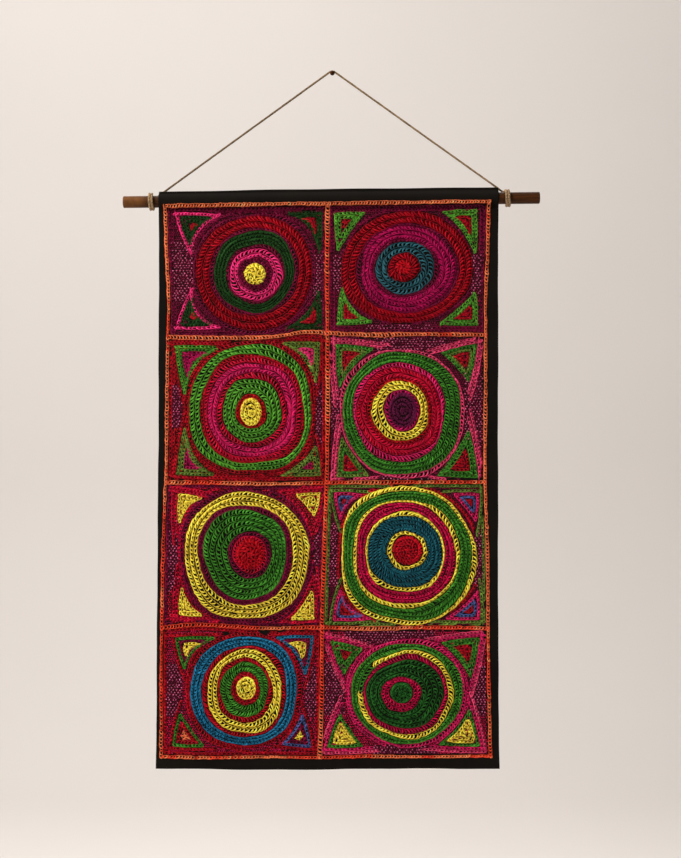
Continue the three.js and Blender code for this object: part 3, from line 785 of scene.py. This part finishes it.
# Where the frame rows run: level ones from the left, upright ones from the top. Redder says how much of a
# row is worked in the second yarn.
frameRows = {
    "yarns": ("orange", "vermilion"),
    "redder": {"level": [-1.6, -0.5, 0.1, 0.5, 0.3], "upright": [-0.4, 0.0, -0.5]},
    "widths": {"level": [6.2, 7.4, 6.8, 7.2, 5.6], "upright": [5.8, 7.6, 6.0]},
    "level": [
        [(-267, -214.6), (-200, -213.6), (-120, -212.2), (-60, -211.2), (-7.7, -211.0), (70, -209.8),
         (160, -208.6), (252, -207.6)],
        [(-263.5, -423.6), (-200, -425), (-140, -425), (-90, -422.5), (-45, -415.5), (-7.7, -417.2),
         (60, -420), (140, -419), (246, -420.2)],
        [(-267, -656), (-190, -656.4), (-100, -658.5), (-9.3, -656.6), (80, -656), (160, -655.6),
         (245.5, -655.6)],
        [(-273.4, -888.6), (-215, -883.4), (-110, -889), (-16.5, -888), (60, -889.6), (150, -888),
         (250.5, -889.2)],
        [(-274.4, -1093.8), (-200, -1095.5), (-110, -1094), (-19.7, -1095), (60, -1093.4), (150, -1094.8),
         (254.5, -1093.6)],
    ],
    "upright": [
        [(-267.2, -213), (-265, -290), (-261.4, -370), (-262.9, -423.4), (-264.2, -520), (-264.6, -600),
         (-266.1, -656.2), (-270, -760), (-272.5, -887.4), (-273.6, -990), (-273.3, -1096)],
        [(-7.7, -210), (-8.4, -320), (-7.7, -416.2), (-7.4, -540), (-9.3, -656.2), (-13, -770),
         (-16.5, -887.4), (-17, -990), (-19.7, -1096)],
        [(250.2, -206), (248, -290), (245, -360), (245.1, -420.2), (244.6, -540), (244.3, -655.4),
         (248, -770), (249.1, -887.4), (250.6, -990), (253.1, -1096)],
    ],
}

# Each motif: its middle, how square its outer rings are, and its rings from the inside out as (yarn, half
# width, half height, rows, kind). The rings aren't quite round one middle: drift gives (size, right, up).
# Corners are (tip, corner, tip, yarns from the outline in), with ears round them. Then come the rows that
# follow the frame and the outer ring, the yarn of the ground, boxes of seed stitches, and slips where black
# cloth shows.
motifs = {
    "motif_1_left": {
        "row": 0, "side": "left", "middle": (-125, -322.6), "square": 0.008, "horns": 4,
        "drift": [(15, 1.3, 0), (43, 2.9, -0.6), (65, 0.6, 4.5), (94, 0.3, 1.6)],
        "rings": [("yellow", 17.6, 17.6, 3, "open"), ("plum", 28, 28, 2, "fine"),
                  ("hotPink", 33.2, 33.2, 1, "fine"), ("hotPink", 43, 43, 1, "open"),
                  ("plum", 47.4, 47.4, 1, "fine"), ("darkGreen", 65.6, 65.6, 4, "dense"),
                  ("plum", 71, 71, 1, "fine"), ("red", 95, 91.5, 2, "slits"),
                  ("plum", 100.2, 96.7, 1, "fine")],
        "corners": [((-178, -227), (-253, -224), (-228, -292), "hotPink darkGreen darkGreen red"),
                    ((-179, -410), (-252, -412), (-225.5, -344), "hotPink darkGreen darkGreen red"),
                    ((-71, -223.4), (-16.5, -223.4), (-17.5, -292), "darkGreen darkGreen red"),
                    ((-76, -412), (-16.5, -410), (-19.7, -348), "darkGreen darkGreen red")],
        "ears": "", "frameYarns": "plum plum", "ringYarns": "plum plum", "fill": "plum",
        "seeds": [(-262, -222, -368, -270), (-30, -11, -372, -290)], "slips": [],
    },
    "motif_1_right": {
        "row": 0, "side": "right", "middle": (113.9, -312.3), "square": 0.0, "horns": 2,
        "drift": [(13, -0.5, 0.3), (45, 2.4, -0.6), (73, 6.2, -2.2), (98, 4.6, 0)],
        "rings": [("brightRed", 14, 12.6, 2, "slits"), ("red", 26.1, 23.6, 1, "slits"),
                  ("teal", 47.5, 43, 2, "open"), ("plum", 52.2, 47.4, 1, "fine"),
                  ("magenta", 76.5, 69, 3, "slits"), ("plum", 81.5, 72.4, 1, "fine"),
                  ("red", 104.5, 91.5, 2, "slits")],
        "corners": [((54, -223), (2.7, -225), (7.5, -290), "brightGreen brightGreen red"),
                    ((175, -222), (231.5, -219), (231, -294), "brightGreen brightGreen red"),
                    ((66, -401), (7.5, -405), (13.9, -342), "brightGreen brightGreen red"),
                    ((168, -404), (233, -405), (230, -350), "brightGreen brightGreen red")],
        "ears": "", "frameYarns": "plum plum", "ringYarns": "plum", "fill": "plum",
        "seeds": [(-2, 14, -350, -290), (220, 243, -360, -290), (55, 160, -416, -403)], "slips": [],
    },
    "motif_2_left": {
        "row": 1, "side": "left", "middle": (-127.8, -543), "square": 0.028, "horns": 2,
        "drift": [(17, -2.2, -0.3), (50, -0.6, 2.2), (83, 1, 2.9), (102, -2.2, 5.1)],
        "rings": [("yellow", 15, 20.3, 3, "open"), ("darkRed", 24.2, 28.2, 2, "fine"),
                  ("brightGreen", 48, 51.9, 3, "open"), ("cherry", 57, 61, 1, "close"),
                  ("rose", 72, 78, 2, "slits"), ("cherry", 79.6, 87.4, 1, "close"),
                  ("red", 83.2, 91, 1, "fine"), ("brightGreen", 99, 106, 2, "open"),
                  ("red", 104.5, 111, 1, "fine")],
        "corners": [((-174.5, -438.4), (-251.7, -437), (-237.3, -518), "brightGreen green magenta"),
                    ((-82, -431.5), (-19, -431.4), (-25, -499), "olive olive hotPink"),
                    ((-187.7, -645.8), (-249, -643.5), (-237, -565), "olive olive magenta"),
                    ((-85, -647), (-18, -645.8), (-25, -596), "olive olive magenta")],
        "ears": "red", "frameYarns": "red red", "ringYarns": "red", "fill": "darkRed",
        "seeds": [(-258, -240, -568, -500), (-27, -12, -600, -496)], "slips": [(-157, -430, 10, 3)],
    },
    "motif_2_right": {
        "row": 1, "side": "right", "middle": (113.1, -540.2), "square": 0.014, "horns": 2,
        "drift": [(23, 0, 0), (47, -4.2, -1.6), (77, -6.1, -3.2), (97, -1.3, -5.1)],
        "rings": [("aubergine", 20.8, 26.2, 4, "dense"), ("magenta", 29, 34, 1, "open"),
                  ("yellow", 46.4, 48.5, 2, "open"), ("brightRed", 51.2, 53.5, 1, "fine"),
                  ("cherry", 68, 71.5, 2, "slits"), ("rose", 74.6, 80.5, 1, "close"),
                  ("green", 94.8, 101, 3, "close"), ("pink", 100, 106.6, 1, "fine")],
        "corners": [((68, -441), (6, -434.6), (10, -505), "green olive red"),
                    ((173.9, -448), (231.5, -434), (219, -497), "green olive red"),
                    ((60, -645.8), (7.5, -648), (13.9, -580.2), "olive green red"),
                    ((167.5, -645.8), (233.1, -649), (219, -570), "green green red")],
        "ears": "pink pink", "frameYarns": "", "ringYarns": "", "fill": "plum",
        "seeds": [(70, 186, -449, -424), (212, 244, -600, -480), (-3, 16, -576, -498),
                  (75, 166, -656, -645)], "slips": [],
    },
    "motif_3_left": {
        "row": 2, "side": "left", "middle": (-132.6, -770.4), "square": 0.016, "horns": 2,
        "drift": [(22, 1, 0), (36, 1.2, -1.1), (70, -6.5, 0.5), (101, -4.6, -3)],
        "rings": [("brightRed", 22, 24, 4, "slits"), ("cherry", 28, 31, 1, "fine"),
                  ("plum", 34.9, 37.8, 1, "fine"), ("green", 67.8, 73, 4, "open"),
                  ("plum", 71.8, 77, 1, "fine"), ("plum", 75.8, 81, 1, "fine"),
                  ("yellow", 100.6, 104, 3, "open"), ("plum", 105, 110, 1, "fine")],
        "corners": [((-206, -680), (-246, -673), (-246, -724), "yellow yellow"),
                    ((-60, -675), (-18.7, -672), (-28, -712), "yellow yellow"),
                    ((-206, -870), (-245, -868), (-242, -820), "yellow yellow"),
                    ((-68, -876), (-29, -875), (-30.5, -825), "yellow yellow")],
        "ears": "cherry cherry", "frameYarns": "plum", "ringYarns": "plum cherry", "fill": "cherry",
        "seeds": [(-264, -246, -830, -715), (-30, -14, -815, -735)], "slips": [],
    },
    "motif_3_right": {
        "row": 2, "side": "right", "middle": (120.3, -764.6), "square": 0.02, "horns": 1,
        "drift": [(25, 0, 0), (65, -4.3, -3), (82, -4, -5), (108, -0.8, -9)],
        "rings": [("red", 25.3, 24.3, 5, "dense"), ("yellow", 32.5, 31.2, 1, "open"),
                  ("petrol", 60.6, 58, 4, "dense"), ("yellow", 66.2, 64.5, 1, "open"),
                  ("crimson", 81.6, 82.0, 3, "close"), ("yellow", 87.6, 88.6, 1, "open"),
                  ("green", 105, 105, 3, "close"), ("yellow", 112.8, 111.5, 1, "open")],
        "corners": [((50.6, -674), (2, -672), (12, -719.4), "rose violet red"),
                    ((191, -673), (235, -673), (231, -723), "rose violet red"),
                    ((66, -876), (0, -878), (12, -825.3), "rose violet red"),
                    ((177.8, -876), (236, -876), (234, -827), "rose violet red")],
        "ears": "olive", "frameYarns": "olive", "ringYarns": "red", "fill": "plum",
        "seeds": [(-8, 9, -824, -720), (228, 248, -824, -726)], "slips": [],
    },
    "motif_4_left": {
        "row": 3, "side": "left", "middle": (-137.6, -984.8), "square": 0.02, "horns": 1,
        "drift": [(17, 0, 0), (42, -2.7, -2.4), (65, -1.8, -5.9), (88, -3, -3.7)],
        "rings": [("yellow", 15, 17.9, 3, "open"), ("red", 22.7, 27.2, 2, "fine"),
                  ("green", 38.7, 44.6, 2, "dense"), ("red", 45.6, 51, 1, "dense"),
                  ("yellow", 62, 66.9, 2, "open"), ("red", 69.3, 73.5, 1, "dense"),
                  ("blue", 87.2, 88.6, 3, "close"), ("red", 92.8, 94.5, 1, "fine")],
        "corners": [((-184, -902), (-251.7, -903.4), (-237.3, -957), "green plum yellow"),
                    ((-91.7, -901.8), (-29, -900.5), (-42, -967), "blue plum yellow"),
                    ((-202, -1079), (-256, -1077.8), (-244, -1022), "green red orange"),
                    ((-82, -1075), (-33, -1079.4), (-47, -1024), "violet plum yellow")],
        "ears": "red", "frameYarns": "red", "ringYarns": "red", "fill": "crimson",
        "seeds": [(-266, -240, -1030, -945), (-44, -23, -1030, -950)],
        "slips": [(-168, -897, 9, 3.5), (-108, -897, 9, 3.5)],
    },
    "motif_4_right": {
        "row": 3, "side": "right", "middle": (111.2, -992.5), "square": 0.0, "horns": 2,
        "drift": [(18, -0.6, 0.5), (30, -1, -2.4), (59, 5.8, -2), (74, 7.4, -2.7), (90, 8.6, 0)],
        "rings": [("forest", 19.4, 17.6, 3, "open"), ("crimson", 31.5, 28.6, 2, "fine"),
                  ("forest", 62.1, 55.2, 4, "open"), ("crimson", 68.8, 62.8, 1, "dense"),
                  ("yellow", 76.6, 72.1, 1, "open"), ("green", 89.6, 81.4, 2, "close"),
                  ("rose", 95, 87, 1, "fine")],
        "breaks": {4: (138, 179)},
        "corners": [((49.1, -922), (-4, -908), (18, -964.2), "green green red"),
                    ((173.9, -911.4), (236, -903.4), (222, -970.6), "green green red"),
                    ((50, -1078), (-8, -1080), (12, -1024), "green yellow"),
                    ((169, -1076.2), (236, -1079), (220, -1018), "green yellow")],
        "ears": "rose pink", "frameYarns": "", "ringYarns": "rose", "fill": "crimson",
        "seeds": [(-16, 20, -1028, -944), (218, 246, -1030, -950), (20, 164, -916, -894),
                  (66, 166, -1090, -1076)], "slips": [],
    },
}


def driftAt(motif, size):
    sizes, right, up = np.array(motif["drift"], float).T
    return np.array([np.interp(size, sizes, right), np.interp(size, sizes, up)])


def ringEdge(motif, halfWidth, halfHeight):
    # An edge between two yarns: the same slow waves as in the CAD, a squareness that grows outwards, and a
    # waver of its own
    turn = motif["row"] * ringWobble["perRow"] + ringWobble[motif["side"]]
    angle = np.linspace(0, 2 * math.pi, 145)
    size = (halfWidth + halfHeight) / 2
    cx, cz = motif["middle"] + driftAt(motif, size)
    uneven = 1 + ringWobble["share"] * (np.sin(2 * angle + turn) + np.sin(3 * angle + 2 * turn))
    uneven = uneven - motif["square"] * smooth(size, 15, 90) * np.cos(4 * angle)
    uneven = uneven + 0.007 * np.sin(5 * angle + turn + size / 30)
    phase = chance.uniform(0, 2 * math.pi, 4)
    waves = zip(ringWobble["waver"], ringWobble["waves"], phase)
    waver = sum(share * np.sin(k * angle + p) for share, k, p in waves)
    waver = waver * (ringWobble["least"] + ringWobble["perSize"] * size)
    return np.stack([cx + (halfWidth * uneven + waver) * np.cos(angle),
                     cz + (halfHeight * uneven + waver) * np.sin(angle)], 1)


# The few stitches over a disc's middle, as shares of its row's width
discSettings = {
    "over": [(0, 0), (0.4, -0.35), (-0.4, 0.3), (0.1, 0.55), (-0.15, -0.6), (0.55, 0.25), (-0.6, -0.15)],
    "spread": 0.85, "length": 4.2, "yarn": 2.3, "height": 1.2, "stepsPerTurn": 120, "rowShare": 1.08,
}


def workRings(work, motif):
    rings = motif["rings"]
    innerX = innerZ = 0
    for number, (yarn, outerX, outerZ, rows, kind) in enumerate(rings):
        width = ((outerX - innerX) + (outerZ - innerZ)) / 2 / rows
        outer = ringEdge(motif, outerX, outerZ)
        if number == 0:  # a disc is one row wound in a spiral, with a few stitches over its middle
            cx, cz = motif["middle"] + driftAt(motif, outerX)
            turns = np.linspace(0, rows + 0.5, discSettings["stepsPerTurn"] * rows)
            angle = 2 * math.pi * turns
            reach = width * np.minimum(0.1 + 0.96 * turns, rows - 0.5)
            path = np.stack([cx + reach * np.cos(angle), cz + reach * outerZ / outerX * np.sin(angle)], 1)
            work.addRow(path, yarn, width * discSettings["rowShare"], kind, wander=0.2)
            over = np.array(discSettings["over"]) * width * discSettings["spread"]
            lengths = np.full(len(over), discSettings["length"])
            angles = chance.uniform(0, math.pi, len(over))
            work.addDashes(over + (cx, cz), angles, [yarn] * len(over), lengths, discSettings["yarn"],
                           discSettings["height"])
        else:
            breadth = np.linalg.norm(outer - inner, axis=1) / rows * stitchKinds[kind]["cover"]
            breadth = np.maximum(breadth, 3.8)[:-1]
            missing = motif.get("breaks", {}).get(number)
            for k in range(rows):
                share = (k + 0.5) / rows
                line = (inner + (outer - inner) * share)[:-1]
                start = chance.integers(0, len(line))
                line, widths = np.roll(line, start, axis=0), np.roll(breadth, start)
                line, widths = np.vstack([line, line[:1]]), np.append(widths, widths[0])
                if missing:  # where this yarn isn't worked, the next one takes its place
                    cx, cz = motif["middle"]

                    def isMissing(p):
                        return between(np.degrees(np.arctan2(p[:, 1] - cz, p[:, 0] - cx)), missing)

                    work.addRow(line, rings[number + 1][0], widths, "fine", closed=True, keep=isMissing)
                    work.addRow(line, yarn, widths, kind, closed=True, keep=lambda p: ~isMissing(p))
                else:
                    work.addRow(line, yarn, widths, kind, closed=True)
        inner, innerX, innerZ = outer, outerX, outerZ
    return outer


cornerSettings = {"outline": 5.2, "row": 4.9, "hollow": (0.02, 0.2), "bow": (-1.2, -2.0)}


def incircle(points):
    a, corner, b = (np.array(point, float) for point in points)
    sides = [np.linalg.norm(corner - b), np.linalg.norm(a - b), np.linalg.norm(a - corner)]
    p, q = corner - a, b - a
    middle = (sides[0] * a + sides[1] * corner + sides[2] * b) / sum(sides)
    return middle, abs(p[0] * q[1] - p[1] * q[0]) / sum(sides)


def gapToRing(edge, points):
    # How far points lie outside the outer ring, measured from its middle
    middle = (edge.min(axis=0) + edge.max(axis=0)) / 2
    away, rim = points - middle, edge - middle
    around = np.arctan2(rim[:, 1], rim[:, 0])
    order = np.argsort(around)
    reach = np.interp(np.arctan2(away[..., 1], away[..., 0]), around[order],
                      np.linalg.norm(rim, axis=1)[order])
    return np.linalg.norm(away, axis=-1) - reach


def hollowOf(motif, points, edge):
    # How deep the long side is bent in to follow the ring and the rows laid round it
    a, b = np.array(points[0], float), np.array(points[2], float)
    laidRound = groundSettings["spacing"] * len(motif["ringYarns"].split()) + 1.0
    least, most = (share * np.linalg.norm(a - b) for share in cornerSettings["hollow"])
    return float(np.clip(laidRound - gapToRing(edge, (a + b) / 2), least, most))


def cornerSides(points, inset, hollow):
    # A triangle's three sides moved in by the inset. Its long side, towards the ring, is hollow.
    a, corner, b = (np.array(point, float) for point in points)
    inner, inradius = incircle(points)
    a, corner, b = (inner + (point - inner) * (1 - inset / inradius) for point in (a, corner, b))
    t = np.linspace(0, 1, 14)[:, None]

    def bowed(start, end, depth):
        towards = inner - (start + end) / 2
        bow = 4 * t * (1 - t) * towards / max(np.linalg.norm(towards), 1) * depth
        return start + (end - start) * t + bow

    first, second = cornerSettings["bow"]
    longSide = hollow * (1 - 0.5 * max(inset, 0) / inradius)
    return [bowed(a, corner, first), bowed(corner, b, second), bowed(b, a, longSide)]


def stretched(line, reach):
    # A line drawn on past both its ends
    first, last = unit(line[0] - line[1]), unit(line[-1] - line[-2])
    return np.vstack([line[0] + first * reach, line, line[-1] + last * reach])


def workCorners(work, motif, rings, edge):
    outline = cornerSettings["outline"]
    for *points, yarns in motif["corners"]:
        names = yarns.split()
        hollow = hollowOf(motif, points, edge)
        for line in cornerSides(points, outline / 2, hollow):
            work.addRow(stretched(line, motif["horns"]), names[0], outline, "fine", clearOf=rings,
                        wander=0.2)
        # Rows inside the outline, as many as fill it to the middle
        _, inradius = incircle(points)
        count = max(len(names) - 1, round((inradius - outline) / cornerSettings["row"]))
        width = (inradius - outline) / count
        for number in range(count):
            sides = cornerSides(points, outline + width * (number + 0.5), hollow)
            line = np.vstack([sides[0][:-1], sides[1][:-1], sides[2]])
            yarn = names[min(number + 1, len(names) - 1)]
            work.addRow(line, yarn, width * 1.05, "fine", clearOf=rings, closed=True, wander=0.2)


# Rows laid along the frame, round the corners and round the outer ring, then the ground and the seed
# stitches on it
groundSettings = {
    "row": 5.0, "spacing": 4.9, "firstRow": 2.5, "firstEar": 2.8, "earReach": 11, "frameGap": 1.8,
    "leastGap": 0.8, "fromRows": 0.3, "angles": (0.8, 2.35),
    "step": 3.5, "stray": 0.5, "groundYarn": 1.8, "groundLength": (3.4, 4.6), "groundHeight": 0.5,
    "seedStep": (5.4, 4.0), "seedStray": 0.8, "seedYarn": 1.75, "seedLength": (2.4, 4.0),
    "seedHeight": 1.1, "seedsLeftOut": 0.12,
}


def crossing(line, value, axis):
    order = np.argsort(line[:, axis])
    return np.interp(value, line[order, axis], line[order, 1 - axis])


def workGround(work, motif, lines, edge):
    top, bottom = lines["level"][motif["row"]], lines["level"][motif["row"] + 1]
    left, right = (lines["upright"][k] for k in ((0, 1) if motif["side"] == "left" else (1, 2)))

    def inside(points, margin):
        x, z = points[..., 0], points[..., 1]
        return ((z < crossing(top, x, 0) - margin) & (z > crossing(bottom, x, 0) + margin)
                & (x > crossing(left, z, 1) + margin) & (x < crossing(right, z, 1) - margin))

    def inSeeds(points):
        x, z = points[..., 0], points[..., 1]
        found = np.zeros(x.shape, bool)
        for x0, x1, z0, z1 in motif["seeds"]:
            found |= (x > x0) & (x < x1) & (z > z0) & (z < z1)
        return found

    def slipped(points):
        x, z = points[..., 0], points[..., 1]
        found = np.zeros(x.shape, bool)
        for sx, sz, halfWidth, halfHeight in motif["slips"]:
            found |= ((x - sx) / halfWidth) ** 2 + ((z - sz) / halfHeight) ** 2 < 1
        return found

    half = max(frameRows["widths"]["level"]) / 2
    clear = half + groundSettings["frameGap"]
    row, spacing, firstRow = (groundSettings[key] for key in ("row", "spacing", "firstRow"))
    rings = work.laid()
    for *points, yarns in motif["corners"]:
        for number, yarn in enumerate(motif["ears"].split()):
            for line in cornerSides(points, -groundSettings["firstEar"] - spacing * number, 0)[:2]:
                work.addRow(stretched(line, groundSettings["earReach"]), yarn, row, "fine", clearOf=rings,
                            keep=lambda p: inside(p, clear) & ~slipped(p))
    fixed = work.laid()
    for number, yarn in enumerate(motif["frameYarns"].split()):
        margin = half + firstRow + number * spacing
        xs = np.linspace(crossing(left, motif["middle"][1], 1) + margin,
                         crossing(right, motif["middle"][1], 1) - margin, 50)
        zs = np.linspace(crossing(top, motif["middle"][0], 0) - margin,
                         crossing(bottom, motif["middle"][0], 0) + margin, 50)
        for line in (np.stack([xs, crossing(top, xs, 0) - margin], 1),
                     np.stack([xs, crossing(bottom, xs, 0) + margin], 1),
                     np.stack([crossing(left, zs, 1) + margin, zs], 1),
                     np.stack([crossing(right, zs, 1) - margin, zs], 1)):
            work.addRow(line, yarn, row, "fine", clearOf=fixed,
                        keep=lambda p: (~inSeeds(p) | (number == 0)) & ~slipped(p))
    fixed = work.laid()
    outerX, outerZ = motif["rings"][-1][1:3]
    for number, yarn in enumerate(motif["ringYarns"].split()):
        path = ringEdge(motif, outerX + firstRow + spacing * number, outerZ + firstRow + spacing * number)
        work.addRow(path, yarn, row, "fine", clearOf=fixed,
                    keep=lambda p: inside(p, clear) & ~inSeeds(p) & ~slipped(p))
    # Short stitches in the ground yarn over what is left, then seed stitches in a lattice on top
    laid = work.laid()

    def spots(stepX, stepZ, stray):
        gridX, gridZ = np.meshgrid(np.arange(left[:, 0].min(), right[:, 0].max(), stepX),
                                   np.arange(bottom[:, 1].min(), top[:, 1].max(), stepZ))
        parity = np.arange(len(gridX))[:, None] % 2 + np.zeros(gridX.shape)
        found = np.stack([(gridX + stepX / 2 * parity).ravel(), gridZ.ravel()], 1)
        found = found + chance.uniform(-stray, stray, (gridX.size, 2))
        free = inside(found, half + groundSettings["leastGap"]) & ~slipped(found)
        free &= gapToRing(edge, found) > 0
        found, parity = found[free], parity.ravel()[free]
        away = np.linalg.norm(found[:, None] - laid[None, :, :2], axis=2) - laid[None, :, 2]
        free = away.min(1) > groundSettings["fromRows"]
        return found[free], np.where(parity[free] > 0, *groundSettings["angles"])

    found, angles = spots(groundSettings["step"], groundSettings["step"], groundSettings["stray"])
    yarns = np.where(inSeeds(found), "plum", motif["fill"])
    lengths = chance.uniform(*groundSettings["groundLength"], len(found))
    work.addDashes(found, angles, yarns, lengths, groundSettings["groundYarn"],
                   groundSettings["groundHeight"])
    found, angles = spots(*groundSettings["seedStep"], groundSettings["seedStray"])
    seeded = inSeeds(found) & (chance.random(len(found)) > groundSettings["seedsLeftOut"])
    found, angles = found[seeded], angles[seeded]
    lengths = chance.uniform(*groundSettings["seedLength"], len(found))
    work.addDashes(found, angles, ["mauve"] * len(found), lengths, groundSettings["seedYarn"],
                   groundSettings["seedHeight"])


yarnMaterial = pearlCotton()
lines = {way: [rounded(row, 8) for row in frameRows[way]] for way in ("level", "upright")}
work = Needlework()
for way in ("upright", "level"):
    for line, width, redder in zip(lines[way], frameRows["widths"][way], frameRows["redder"][way]):
        uneven = width * (1 + 0.1 * np.sin(lengthAlong(line) / 41) + 0.08 * np.sin(lengthAlong(line) / 17))
        work.addRow(line, frameRows["yarns"][0], uneven, "frame", mix=(frameRows["yarns"][1], redder))
sewn("frame_rows", work, yarnMaterial)
for name, motif in motifs.items():
    work = Needlework()
    edge = workRings(work, motif)
    workCorners(work, motif, work.laid(), edge)
    workGround(work, motif, lines, edge)
    sewn(name, work, yarnMaterial)
print("stitching done")

# Studio: pale floor running up into a backdrop, a soft key from the upper left, a weak fill

studio = {
    "floorZ": -2.0, "topZ": 6.0, "backY": 4.9, "halfWidth": 9, "frontY": -9, "bend": 1.2, "wall": "#e4e1e0",
    "air": "#f2ede6", "airStrength": 0.22,
}


def makeStage():
    # Pale matt paint with a hardly visible mottle, so that the eye stays on the hanging
    material = newMaterial("studio_paint")
    place = addNode(material, "ShaderNodeTexCoord")
    mottle = addNode(material, "ShaderNodeTexNoise", None,
                     {"Vector": place.outputs["Object"], "Scale": 1.5, "Detail": 2.0})
    colour = multiply(material, linear(studio["wall"]), mottle.outputs["Fac"], 0.98, 1.02)
    finishMaterial(material, {"Base Color": colour, "Roughness": 0.9, "Specular IOR Level": 0.1})
    angles = np.linspace(0, math.pi / 2, 16)
    bend = np.stack([studio["backY"] - studio["bend"] + studio["bend"] * np.sin(angles),
                     studio["floorZ"] + studio["bend"] * (1 - np.cos(angles))], 1)
    line = np.vstack([[studio["frontY"], studio["floorZ"]], bend, [studio["backY"], studio["topZ"]]])
    points = np.vstack([np.column_stack([np.full(len(line), x), line])
                        for x in (-studio["halfWidth"], studio["halfWidth"])])
    mesh = bpy.data.meshes.new("studio_sweep")
    n = len(line)
    mesh.from_pydata(points.tolist(), [], [(i, n + i, n + i + 1, i + 1) for i in range(n - 1)])
    mesh.polygons.foreach_set("use_smooth", [True] * len(mesh.polygons))
    mesh.materials.append(material)
    sweep = bpy.data.objects.new("studio_sweep", mesh)
    bpy.context.scene.collection.objects.link(sweep)


# Metres and watts, as in the studio settings
lights = {
    "key": {
        "place": (-2.4, -1.9, 1.4), "target": (0, 0, -0.55), "size": 0.8, "power": 150, "colour": "#fff6ea",
    },
    "fill": {
        "place": (2.6, -3.2, -0.2), "target": (0, 0, -0.6), "size": 2.4, "power": 22, "colour": "#fff8f2",
    },
    "behind": {
        "place": (0, 2.6, 1.8), "target": (0, 0, -0.6), "size": 2.0, "power": 55, "colour": "#fff8f0",
    },
    "backdrop_wash": {
        "place": (-1.6, 0.8, 3.6), "target": (-0.6, 4.9, 0), "size": 4.0, "power": 175, "colour": "#fff9f3",
    },
}


def addLight(name, settings):
    light = bpy.data.lights.new(name, "AREA")
    light.shape, light.size, light.energy = "DISK", settings["size"], settings["power"]
    light.color = linear(settings["colour"])
    lamp = bpy.data.objects.new(name, light)
    lamp.location = settings["place"]
    lamp.rotation_mode = "QUATERNION"
    towards = Vector(settings["target"]) - Vector(settings["place"])
    lamp.rotation_quaternion = towards.to_track_quat("-Z", "Y")
    bpy.context.scene.collection.objects.link(lamp)


makeStage()
for name, settings in lights.items():
    addLight(name, settings)
world = bpy.data.worlds.new("studio_air")
world.use_nodes = True
background = world.node_tree.nodes["Background"]
background.inputs["Color"].default_value = rgba(studio["air"])
background.inputs["Strength"].default_value = studio["airStrength"]
bpy.context.scene.world = world
bpy.context.scene.view_settings.view_transform = "Standard"
print("studio ready")
